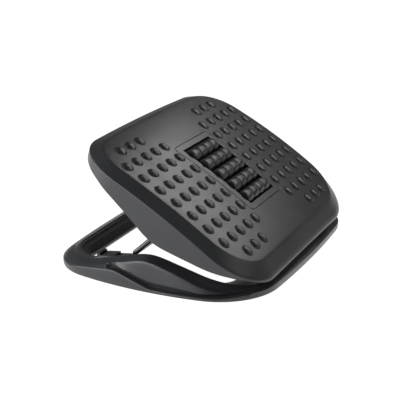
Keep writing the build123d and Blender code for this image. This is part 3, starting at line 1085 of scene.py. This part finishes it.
    def ears(self) -> Surface:
        """Hinge ears: a round end about the pin, widening up into the plate.

        Returns:
            Both ears, each a closed solid.
        """
        y, z = self.hinge
        back_root, front_root = self.ear_roots
        root = np.array([[y + 2 * self.ear_radius, back_root], [y - self.ear_radius / 2, front_root]])
        profile = np.concatenate([half_circle(y, z, self.ear_radius, 180.0), root])
        half = self.ear_width / 2
        middles = [side * self.ear_x for side in SIDES]
        return joined([prism(profile, middle - half, middle + half, self.ear_edge) for middle in middles])

    def bosses(self) -> Surface:
        """Screw bosses under the sheet, each a short turned post with a screw hole.

        Returns:
            The bosses of the mats, the bail's clips and the tray.
        """
        mat_x, mat_y, mat_seat = self.mat_boss
        tray_x, tray_y, tray_seat = self.tray_boss
        mats = [side * self.nubs.zone_x + x for side in SIDES for x in (-mat_x, mat_x)]
        clips = [side * self.clip_boss_x for side in SIDES]
        seats = [(x, y, mat_seat) for x in mats for y in (-mat_y, mat_y)]
        seats += [(x, y, self.clip_boss_seat) for x in clips for y in self.clip_boss_ys]
        seats += [(x, y, tray_seat) for x in (-tray_x, tray_x) for y in (-tray_y, tray_y)]
        outer = self.boss_radius
        radii = np.array([outer, outer, outer - self.boss_edge, self.screw_radius])
        posts = []
        for x, y, seat in seats:
            top = float(self.base.arch(y, self.root_depth))
            heights = np.array([top, seat + self.boss_edge, seat, seat])
            posts.append(skin(turned(radii, heights, self.boss_around) + np.array([x, y, 0.0])))
        return joined(posts)

    def build(self) -> list[bpy.types.Object]:
        """Make the plate and let it ride with the plate's body.

        Returns:
            The finished plate.
        """
        rim = skin(self.rim_rows())
        shell = joined([self.top_and_underside(), rim, self.ribs(), self.ears(), self.bosses()])
        made = add_piece("foot_plate_shell", shell.moved(self.base.placed), MOULDED)
        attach(made, "plate")
        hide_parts("foot_plate")
        return [made]


@dataclass
class NubMats:
    """Rubber mats under the plate, with domed nubs standing through its holes.

    Args:
        base: The plate's frame.
        nubs: Places of the nubs.
        radius: Nub radius.
        height: How far a nub stands over the plate.
        flatness: Power that flattens a nub's crown.
        sheet_top: Depth of the mat's upper face below the plate's.
        thickness: Mat thickness.
        half: Half width and half length of a mat.
        corner: Its corner radius.
        around: Points round a nub.
        steps: Rows from a nub's foot to its crown.
    """

    base: PlateFrame
    nubs: NubField
    radius: float = 8.6
    height: float = 3.4
    flatness: float = 0.9
    sheet_top: float = 3.2
    thickness: float = 2.0
    half: tuple[float, float] = (67.0, 126.0)
    corner: float = 38.0
    around: int = 24
    steps: int = 11

    sheet_shares: ClassVar[tuple[float, ...]] = (0.0, 0.2, 0.4, 0.6, 0.8, 1.0)

    def domes(self, side: int) -> Surface:
        """Nubs of one mat, turned about their axes.

        The radius is the foot's times a power of the rise angle's cosine, the height its sine.
        A power under one flattens the crown and steepens the edge.

        Args:
            side: -1 for the left mat, 1 for the right one.

        Returns:
            The nubs, each rooted in the mat.
        """
        rise = np.radians(np.linspace(0, 90, self.steps))
        radii = np.concatenate([[self.radius], self.radius * np.abs(np.cos(rise)) ** self.flatness])
        radii[-1] = 0.0
        heights = np.concatenate([[-self.sheet_top - self.thickness / 2], self.height * np.sin(rise)])
        shape = turned(radii, heights, self.around)
        feet = self.base.on_arch(self.nubs.places(side))
        return joined([skin(shape + foot, Facing.INWARD) for foot in feet])

    def sheet(self, side: int) -> Surface:
        """Mat of one zone: its outline drawn in to the middle above and below, bent to the arch.

        Args:
            side: -1 for the left mat, 1 for the right one.

        Returns:
            The closed mat without its nubs.
        """
        half_x, half_y = self.half
        corners = (self.corner, self.corner)
        outline = Plan(half_x, half_x, -half_y, half_y, corners=corners, per_side=14, per_corner=6).ring()
        middle = np.array([side * self.nubs.zone_x, 0.0])
        upper = [(share, self.sheet_top) for share in self.sheet_shares]
        lower = [(share, self.sheet_top + self.thickness) for share in reversed(self.sheet_shares)]
        rows = [self.base.on_arch(outline * share + middle, depth) for share, depth in upper + lower]
        return skin(np.array(rows))

    def build(self) -> list[bpy.types.Object]:
        """Make both mats and let them ride with the plate.

        Returns:
            The finished mats.
        """
        made = []
        for name, side in zip(("left", "right"), SIDES):
            mat = joined([self.sheet(side), self.domes(side)]).moved(self.base.placed)
            piece = add_piece(f"nub_mat_{name}_domed", mat, RUBBER)
            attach(piece, "plate")
            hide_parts(f"nub_mat_{name}")
            made.append(piece)
        return made


@dataclass
class Rollers:
    """Five massage rollers with barrel-shaped rings.

    Args:
        base: The plate's frame.
        count: Rollers.
        pitch: Distance between axles.
        radius: Radius of a ring's crown.
        length: Roller length.
        rings: Rings on a roller.
        groove: Depth between rings.
        barrel: Power by which a ring's radius falls off to the groove.
        crowding: Power that crowds the points towards a groove.
        end_edge: Broken edge of a roller's ends.
        axle_depth: Depth of the axles below the plate's top.
        bore: Radius of the axle hole.
        around: Points round a roller.
        per_ring: Points along a ring.
        crisp: Edges that turn by more than this stay crisp, in degrees.
    """

    base: PlateFrame
    count: int = 5
    pitch: float = 25.5
    radius: float = 12.3
    length: float = 86.0
    rings: int = 4
    groove: float = 1.9
    barrel: float = 3.6
    crowding: float = 0.6
    end_edge: float = 0.8
    axle_depth: float = 6.5
    bore: float = 2.55
    around: int = 40
    per_ring: int = 14
    crisp: float = 60.0

    def shape(self) -> Surface:
        """One roller about the X axis.

        A ring's radius is its crown's less the groove times a power of the share of its half length.

        Returns:
            The roller about its own middle.
        """
        local = np.linspace(-1, 1, self.per_ring + 1)
        local = np.sign(local) * np.abs(local) ** self.crowding
        ring_radius = self.radius - self.groove * np.abs(local) ** self.barrel
        ring_half = self.length / self.rings / 2
        starts = (np.arange(self.rings) * 2 + 1 - self.rings) * ring_half
        x = (starts[:, None] + ring_half * local).ravel()
        radii = np.tile(ring_radius, self.rings)
        end_radius = radii[0] - self.end_edge
        x = np.concatenate([[x[0], x[0]], x, [x[-1], x[-1]]])
        radii = np.concatenate([[self.bore, end_radius], radii, [end_radius, self.bore]])
        lathe = turned(radii, x, self.around)
        rows = np.stack([lathe[..., 2], lathe[..., 0], lathe[..., 1]], axis=-1)
        return skin(rows, Facing.INWARD)

    def build(self) -> list[bpy.types.Object]:
        """Make the rollers, each riding with its own body.

        Returns:
            The finished rollers, from the front.
        """
        surface = self.shape()
        made = []
        for index in range(self.count):
            y = (index - (self.count - 1) / 2) * self.pitch
            centre = np.array([0.0, y, float(self.base.arch(y, self.axle_depth))])
            placed = Surface(self.base.placed(surface.points + centre), surface.faces)
            piece = add_piece(f"roller_{index + 1}_ringed", placed, ROLLER, self.crisp)
            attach(piece, f"roller_{index + 1}")
            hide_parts(f"roller_{index + 1}")
            made.append(piece)
        return made


@dataclass(frozen=True)
class OuterRow:
    """One row of the base's outer face, on the leaf panel and on the plain shoulder beyond it.

    Args:
        leaf_in: How far in it lies on the leaf panel.
        plain_in: How far in it lies on the plain shoulder.
        plain_share: Share of the way from the crease to the rail's top on the plain shoulder.
        lift: Height over the line it follows on the leaf panel.
        up: That line, from the leaf's lower edge (0) to its top edge (1); none is the crease.
        least: Least height over the crease on the leaf panel.
    """

    leaf_in: float
    plain_in: float
    plain_share: float
    lift: float
    up: float | None = None
    least: float = 0.0


@dataclass
class RingBase:
    """Open ring base: outer band, side rails with a raised leaf panel, inner ledge and racks.

    Args:
        plan: Outline at the floor.
        rail_opening: Outline of the rails' inner face.
        ledge_opening: Outline of the ledge's inner edge.
        floor_gap: Height of the lower edge over the floor.
        wall: Wall thickness.
        ledge_edge: Height of the ledge at its inner edge.
        foot_edge: Inset and lift of each row of the band's lower edge.
        below_leaf: Rows of the band, the groove and the leaf's lower edge.
        leaf_shares: Rows of the leaf's face, as shares of its height.
        above_leaf: Rows of the leaf's top edge.
        shoulder: Rows from there to the rail: share of the way in and of the rise.
        ledge_rows: Rows of the sloped ledge: share of the way in and of the fall.
        root: Height at which racks and cheeks start inside the ledge.
        rack_span: Front and back end of a rack.
        rack_tip: Height of its tips.
        rack_x: Its inner and outer face.
        notch_depth: Depth of a notch.
        notch_faces: Upright faces of the notches, from the back.
        hinge: Pin's place and height.
        cheek_x: Middle of a pair of hinge cheeks.
        cheek_apart: How far a cheek's middle stands from it.
        cheek_half: Half thickness of a cheek.
        cheek_radius: Radius of its round top.
        foot_places: Places of the right side's feet.
        socket_radius: Radius of a foot's socket.
        recess_radius: Radius of the recess that holds the foot.
        socket_top: Height of the socket's root.
        recess_top: Height of the recess.
        crisp: Edges that turn by more than this stay crisp, in degrees.
    """

    plan: Plan = Plan(206.0, 190.0, -166.0, 168.0, (10.0, 26.0, 8.0), (95.0, 85.0), 96, 40)
    rail_opening: Plan = Plan(
        190.0, 190.0, -158.0, 149.0, corners=(80.0, 80.0), per_side=96, per_corner=40
    )
    ledge_opening: Plan = Plan(
        165.0, 165.0, -110.0, 130.0, corners=(35.0, 35.0), per_side=96, per_corner=40
    )
    floor_gap: float = 1.5
    wall: float = 3.0
    ledge_edge: float = 7.0
    foot_edge: Places = ((1.4, 0.0), (0.5, 0.5), (0.1, 1.6))
    below_leaf: tuple[OuterRow, ...] = (
        OuterRow(0.0, 0.0, -0.12, -2.0),
        OuterRow(0.3, 0.3, -0.04, -0.9),
        OuterRow(1.1, 1.1, 0.03, -0.2),
        OuterRow(2.3, 2.3, 0.12, 0.0),
        OuterRow(6.0, 4.6, 0.3, 0.1),
        OuterRow(10.6, 6.6, 0.4, 0.4),
        OuterRow(11.4, 7.6, 0.45, 1.2),
        OuterRow(11.0, 8.2, 0.475, -2.2, up=0.0, least=2.0),
        OuterRow(8.9, 8.8, 0.495, -0.7, up=0.0, least=2.2),
        OuterRow(8.3, 9.2, 0.51, 0.2, up=0.0, least=2.4),
    )
    leaf_shares: tuple[float, ...] = (0.12, 0.3, 0.5, 0.75, 0.9)
    above_leaf: tuple[OuterRow, ...] = (
        OuterRow(11.5, 11.4, 0.6, -0.7, up=1.0, least=2.6),
        OuterRow(12.5, 12.5, 0.62, 0.1, up=1.0, least=2.7),
        OuterRow(14.0, 14.0, 0.65, 0.4, up=1.0, least=2.8),
    )
    shoulder: Places = ((0.3, 0.42), (0.6, 0.78), (0.85, 0.96), (1.0, 1.0))
    ledge_rows: Places = ((0.04, 0.0), (0.4, 0.06), (0.48, 0.16), (0.94, 0.95))
    root: float = 8.5
    rack_span: tuple[float, float] = (13.5, 89.0)
    rack_tip: float = 34.5
    rack_x: tuple[float, float] = (170.0, 191.5)
    notch_depth: float = 3.0
    notch_faces: Triple = (84.0, 60.5, 37.0)
    hinge: tuple[float, float] = (-146.0, 21.0)
    cheek_x: float = 120.0
    cheek_apart: float = 8.4
    cheek_half: float = 3.0
    cheek_radius: float = 8.5
    foot_places: Places = ((181.0, -98.0), (184.0, 100.0))
    socket_radius: float = 16.0
    recess_radius: float = 13.0
    socket_top: float = 7.0
    recess_top: float = 3.5
    crisp: float = 50.0

    # Where the leaf panel fades out, as (y, width): towards the back and towards the front
    leaf_back: ClassVar[tuple[float, float]] = (64.0, 9.0)
    leaf_front: ClassVar[tuple[float, float]] = (-160.0, 40.0)
    # Rows of the leaf's face: both insets and the plain share at its lower edge, and their growth upwards
    leaf_start: ClassVar[Triple] = (8.3, 9.4, 0.52)
    leaf_growth: ClassVar[Triple] = (2.9, 1.6, 0.06)
    leaf_least: ClassVar[float] = 2.5
    # Inner face of the rails: its edge rows as growth and drop, its start and its ends over the ledge
    rail_edge: ClassVar[Places] = ((1.0, 0.35), (0.2, 1.2))
    least_face: ClassVar[float] = 2.0
    face_start: ClassVar[float] = 2.0
    face_shares: ClassVar[tuple[float, float]] = (0.3, 0.7)
    face_end: ClassVar[float] = 0.8
    face_foot: ClassVar[float] = 0.4
    hole_edge: ClassVar[float] = 0.6
    # Cavity: shares of the way to the rails from the ledge's back and from the outer face, and its roof
    under_share: ClassVar[float] = 0.1
    near_share: ClassVar[float] = 0.84
    far_share: ClassVar[float] = 0.6
    roof_over_leaf: ClassVar[float] = 2.0
    solid_edge: ClassVar[float] = 0.5
    socket_around: ClassVar[int] = 32

    rail_top: ClassVar[Line] = Line(
        5.0,
        (-180.0, 12.5), (-145.0, 12.5), (-111.0, 19.5), (-97.0, 23.5), (-68.0, 31.2),
        (-37.0, 39.5), (-15.0, 45.2), (0.0, 47.0), (14.0, 45.6), (34.0, 40.5),
        (100.0, 26.5), (150.0, 22.0), (180.0, 22.0),
    )
    crease: ClassVar[Line] = Line(
        4.0,
        (-180.0, 11.0), (-150.0, 10.5), (-120.0, 7.6), (-94.0, 6.4), (-66.0, 6.2), (-35.0, 6.5),
        (-12.0, 7.0), (2.0, 11.8), (19.0, 17.0), (40.0, 23.4), (51.0, 24.8), (63.0, 22.9),
        (86.0, 19.8), (110.0, 16.2), (136.0, 10.8), (180.0, 10.0),
    )
    leaf_low: ClassVar[Line] = Line(
        3.0,
        (-180.0, 11.2), (-120.0, 8.6), (-91.0, 8.2), (-62.0, 10.8), (-31.0, 12.5), (-8.0, 13.0),
        (8.0, 16.8), (24.0, 22.6), (42.0, 28.0), (57.0, 30.0), (180.0, 30.0),
    )
    leaf_top: ClassVar[Line] = Line(
        3.0,
        (-180.0, 11.5), (-120.0, 11.2), (-102.0, 13.2), (-88.0, 17.0), (-74.0, 22.0), (-45.0, 33.0),
        (-15.0, 41.8), (0.0, 43.6), (8.0, 42.8), (18.0, 40.8), (59.0, 30.2), (180.0, 30.2),
    )
    ledge_top: ClassVar[Line] = Line(2.0, (-180.0, 10.0), (84.0, 10.0), (104.0, 16.5), (180.0, 16.5))

    def outer_row(self, row: OuterRow) -> np.ndarray:
        """Row that goes over from the plain shoulder to the leaf panel along the side.

        Its place and height are each the plain shoulder's, plus the panel's weight times the
        difference to the leaf's. On the leaf, the height is its line's but never under the crease.

        Args:
            row: Sizes of the row.

        Returns:
            Points of the row.
        """
        plain = self.plan.inset(row.plain_in).ring()
        y = plain[:, 1]
        back, back_fade = self.leaf_back
        front, front_fade = self.leaf_front
        weight = eased((back - y) / back_fade) * eased((y - front) / front_fade)
        crease = self.crease(y)
        height = crease + row.lift
        if row.up is not None:
            low = self.leaf_low(y)
            line = low + row.up * (self.leaf_top(y) - low)
            height = np.maximum(line + row.lift, crease + row.least)
        shoulder = crease + (self.rail_top(y) - crease) * row.plain_share
        ring = plain + weight[:, None] * (self.plan.inset(row.leaf_in).ring() - plain)
        return raised(ring, shoulder + weight * (height - shoulder))

    def leaf_row(self, up: float) -> OuterRow:
        """Row of the leaf's face, whose sizes grow evenly from its lower edge to its top edge.

        Args:
            up: Share of the leaf's height.

        Returns:
            Sizes of the row.
        """
        sizes = [start + growth * up for start, growth in zip(self.leaf_start, self.leaf_growth)]
        return OuterRow(*sizes, lift=0.0, up=up, least=self.leaf_least)

    def outer_face(self) -> list[np.ndarray]:
        """Rows from the lower outer edge over the band, the leaf panel and the shoulder to the rail.

        Returns:
            The rows, from below.
        """
        rows = []
        for inset, lift in self.foot_edge:
            rows.append(raised(self.plan.inset(inset).ring(), self.floor_gap + lift))
        leaf_face = [self.leaf_row(up) for up in self.leaf_shares]
        for row in (*self.below_leaf, *leaf_face, *self.above_leaf):
            rows.append(self.outer_row(row))
        edge = rows[-1][:, :2]
        edge_height = rows[-1][:, 2]
        rail_ring = self.rail_opening.inset(-self.wall).ring()
        for share, rise in self.shoulder:
            ring = edge + (rail_ring - edge) * share
            rows.append(raised(ring, edge_height + (self.rail_top(ring[:, 1]) - edge_height) * rise))
        return rows

    def inner_face(self) -> list[np.ndarray]:
        """Rows from the rail's inner edge down to the ledge and over it to the opening.

        Returns:
            The rows, from above.
        """
        inner = self.rail_opening.ring()
        hole = self.ledge_opening.ring()
        ledge = self.ledge_top(inner[:, 1])
        face = np.maximum(self.rail_top(inner[:, 1]), ledge + self.least_face)
        rows = []
        for growth, drop in self.rail_edge:
            rows.append(raised(self.rail_opening.inset(-growth).ring(), face - drop))
        for share in self.face_shares:
            fall = ledge + self.face_end - face + self.face_start
            rows.append(raised(inner, face - self.face_start + fall * share))
        rows.append(raised(inner, ledge + self.face_foot))
        fall = ledge - self.ledge_edge
        for share, drop in self.ledge_rows:
            rows.append(raised(inner + (hole - inner) * share, ledge - fall * drop))
        rows.append(raised(hole, self.ledge_edge - self.hole_edge))
        rows.append(raised(hole, self.floor_gap))
        return rows

    def cavity(self) -> list[np.ndarray]:
        """Rows of the hollow underside, from the opening back to the lower outer edge.

        Returns:
            The rows, from the opening outwards.
        """
        inner = self.rail_opening.ring()
        outside = self.plan.ring()
        behind = self.ledge_opening.inset(-self.wall).ring()
        under = inner * self.under_share + behind * (1 - self.under_share)
        near = outside + (inner - outside) * self.near_share
        far = outside + (inner - outside) * self.far_share
        roof = self.ledge_edge - self.wall / 2
        over_leaf = self.leaf_top(far[:, 1]) + self.roof_over_leaf
        far_roof = np.minimum(self.rail_top(far[:, 1]), over_leaf)
        return [
            raised(behind, self.floor_gap),
            raised(behind, roof),
            raised(under, roof),
            raised(near, roof),
            raised(near, self.rail_top(near[:, 1]) - self.wall),
            raised(far, far_roof - 2 * self.wall),
            raised(far, self.floor_gap),
        ]

    def ring_body(self) -> Surface:
        """The ring itself: rows outside, inside and below, closed with the first row.

        Returns:
            The closed ring.
        """
        outer = self.outer_face()
        return skin(np.array(outer + self.inner_face() + self.cavity() + outer[:1]))

    def racks(self) -> Surface:
        """Racks for the bail's crossbar: a saw-tooth outline with upright faces behind each notch.

        Returns:
            Both racks, each a closed solid.
        """
        front, back = self.rack_span
        tip = self.rack_tip
        outline = [(front, self.root), (back, self.root), (back, tip)]
        for face_y in self.notch_faces:
            outline += [(face_y, tip), (face_y, tip - self.notch_depth)]
        profile = np.array(outline + [(front, tip)])
        spans = [sorted(side * x for x in self.rack_x) for side in SIDES]
        return joined([prism(profile, from_x, to_x, self.solid_edge) for from_x, to_x in spans])

    def cheeks(self) -> Surface:
        """Hinge cheeks: upright plates with a round top about the pin.

        Returns:
            Two pairs of cheeks, each a closed solid.
        """
        y, z = self.hinge
        foot = np.array([(y - self.cheek_radius, self.root), (y + self.cheek_radius, self.root)])
        profile = np.concatenate([foot, half_circle(y, z, self.cheek_radius, 0.0)])
        middles = [side * self.cheek_x + end * self.cheek_apart for side in SIDES for end in SIDES]
        half = self.cheek_half
        return joined([prism(profile, middle - half, middle + half, self.solid_edge) for middle in middles])

    def foot_sockets(self) -> Surface:
        """Sockets under the base that hold the rubber feet, each turned about its own axis.

        Returns:
            The four sockets.
        """
        outer = self.socket_radius
        recess = self.recess_radius
        radii = np.array([0.0, outer, outer, recess, recess, 0.0])
        top = self.socket_top
        heights = np.array([top, top, self.floor_gap, self.floor_gap, self.recess_top, self.recess_top])
        shape = turned(radii, heights, self.socket_around)
        places = [np.array([side * x, y, 0.0]) for side in SIDES for x, y in self.foot_places]
        return joined([skin(shape + place) for place in places])

    def build(self) -> list[bpy.types.Object]:
        """Make the base and let it stand with the base's body.

        Returns:
            The finished base.
        """
        whole = joined([self.ring_body(), self.racks(), self.cheeks(), self.foot_sockets()])
        made = add_piece("base_ring", whole, MOULDED, self.crisp)
        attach(made, "base")
        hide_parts("base_frame")
        return [made]


@dataclass(frozen=True)
class Hardware:
    """Packed nodes that keep their own shape and take a finish.

    Args:
        finishes: Finish of each node.
    """

    finishes: dict[str, Finish] = field(
        default_factory=lambda: {
            "roller_tray": MOULDED,
            "bail_clip_left": MOULDED,
            "bail_clip_right": MOULDED,
            "rubber_feet": RUBBER,
            "bail": WIRE,
            "hinge_pin_left": ZINC,
            "hinge_pin_right": ZINC,
            "mat_screws": ZINC,
            "clip_screws": ZINC,
            "tray_screws": ZINC,
        }
        | {f"roller_axle_{number}": ZINC for number in range(1, Rollers.count + 1)}
    )

    def build(self) -> list[bpy.types.Object]:
        """Dress every node of the list.

        Returns:
            The nodes' objects.
        """
        pieces = [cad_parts[node] for node in self.finishes]
        for piece, finish in zip(pieces, self.finishes.values()):
            piece.data.materials.clear()
            piece.data.materials.append(finish.material())
        return pieces


# Studio


@dataclass(frozen=True)
class Lamp:
    """One softbox, in metres and watts.

    Args:
        name: Name of the light.
        place: Where it stands.
        width: Its level side, before it is rolled.
        height: Its other side.
        power: How bright it is.
        aim: What it faces.
        roll: Turn about the line to its aim, in degrees.
    """

    name: str
    place: Triple
    width: float
    height: float
    power: float
    aim: Triple = (0.0, 0.0, 0.1)
    roll: float = 0.0

    def build(self) -> None:
        """Add the softbox, facing what it is aimed at and rolled about that line."""
        data = bpy.data.lights.new(self.name, "AREA")
        data.shape = "RECTANGLE"
        data.size = self.width
        data.size_y = self.height
        data.energy = self.power
        lamp = bpy.data.objects.new(self.name, data)
        bpy.context.scene.collection.objects.link(lamp)
        lamp.location = self.place
        away = Vector(self.place) - Vector(self.aim)
        lamp.rotation_mode = "QUATERNION"
        spin = Quaternion((0.0, 0.0, 1.0), math.radians(self.roll))
        lamp.rotation_quaternion = away.to_track_quat("Z", "Y") @ spin


@dataclass(frozen=True)
class Studio:
    """White sweep with softboxes, and the camera that took the picture, in metres.

    Args:
        camera_place: Where the camera stands.
        camera_back: Direction from the object to the camera.
        lens: Focal length, in millimetres.
        sensor: Width of the frame that it is given for, in millimetres.
        view_end: How far the camera sees.
        floor_half: Half the floor's side.
        floor_glow: Share of the floor's white that needs no light.
        floor_paint: Diffuse share of the floor, which keeps a soft shadow.
        fill: Brightness of the room as the object sees it.
        lamps: The softboxes.
    """

    camera_place: Triple = (-1.4956, -0.6761, 0.6158)
    camera_back: Triple = (-0.8623, -0.3963, 0.3155)
    lens: float = 99.42
    sensor: float = 36.0
    view_end: float = 100.0
    floor_half: float = 12.0
    floor_glow: float = 0.955
    floor_paint: float = 0.35
    fill: float = 0.15
    lamps: tuple[Lamp, ...] = (
        Lamp("softbox_right", (0.44, -0.18, 0.49), 0.56, 0.16, 1.25, roll=20.0),
        Lamp("panel_left", (-1.0, 0.85, 0.4), 1.6, 0.7, 18.0),
        Lamp("strip_back", (-0.5, 1.1, 1.7), 1.2, 0.12, 4.0),
        Lamp("card_front", (0.5, -1.3, 0.95), 1.0, 0.6, 1.7),
    )

    def camera(self) -> None:
        """Place the camera, level and looking along its own back direction."""
        data = bpy.data.cameras.new("camera")
        data.lens = self.lens
        data.sensor_width = self.sensor
        data.clip_end = self.view_end
        camera = bpy.data.objects.new("camera", data)
        bpy.context.scene.collection.objects.link(camera)
        back = Vector(self.camera_back).normalized()
        right = Vector((0, 0, 1)).cross(back).normalized()
        up = back.cross(right)
        turn = Matrix((right, up, back)).transposed().to_4x4()
        camera.matrix_world = Matrix.Translation(self.camera_place) @ turn
        bpy.context.scene.camera = camera

    def floor(self) -> None:
        """Lay a white paper floor that glows almost to white and keeps a faint shadow."""
        half = self.floor_half
        corners = [(-half, -half, 0), (half, -half, 0), (half, half, 0), (-half, half, 0)]
        mesh = bpy.data.meshes.new("floor")
        mesh.from_pydata(corners, [], [(0, 1, 2, 3)])
        made = bpy.data.materials.new("paper_sweep_white")
        made.use_nodes = True
        nodes = Nodes(made.node_tree)
        glow = nodes.add("Emission", {"Color": colour_of("#ffffff"), "Strength": self.floor_glow})
        grey = (self.floor_paint, self.floor_paint, self.floor_paint, 1.0)
        paint = nodes.add("BsdfDiffuse", {"Color": grey})
        both = nodes.add("AddShader", {0: glow.outputs["Emission"], 1: paint.outputs["BSDF"]})
        nodes.add("OutputMaterial", {"Surface": both.outputs["Shader"]})
        mesh.materials.append(made)
        floor = bpy.data.objects.new("floor", mesh)
        bpy.context.scene.collection.objects.link(floor)

    def room(self) -> None:
        """Dim the room all round, so that faces that look up stay dark."""
        world = bpy.data.worlds.new("room")
        bpy.context.scene.world = world
        world.use_nodes = True
        nodes = Nodes(world.node_tree)
        lit = nodes.add("Background", {"Color": colour_of("#ffffff"), "Strength": self.fill})
        nodes.add("OutputWorld", {"Surface": lit.outputs["Background"]})

    def build(self) -> None:
        """Set up camera, floor, room and softboxes."""
        bpy.context.scene.view_settings.view_transform = "Standard"
        self.camera()
        self.floor()
        self.room()
        for lamp in self.lamps:
            lamp.build()


def main() -> None:
    """Build the object and its studio, and report each piece."""
    logging.basicConfig(level=logging.INFO, format="%(name)s: %(message)s")
    base = PlateFrame()
    nubs = NubField()
    assemblies = [FootPlate(base, nubs), NubMats(base, nubs), Rollers(base), RingBase(), Hardware()]
    for assembly in assemblies:
        for piece in assembly.build():
            log.info("%s: %s faces", piece.name, len(piece.data.polygons))
    Studio().build()


if __name__ == "__main__":
    main()
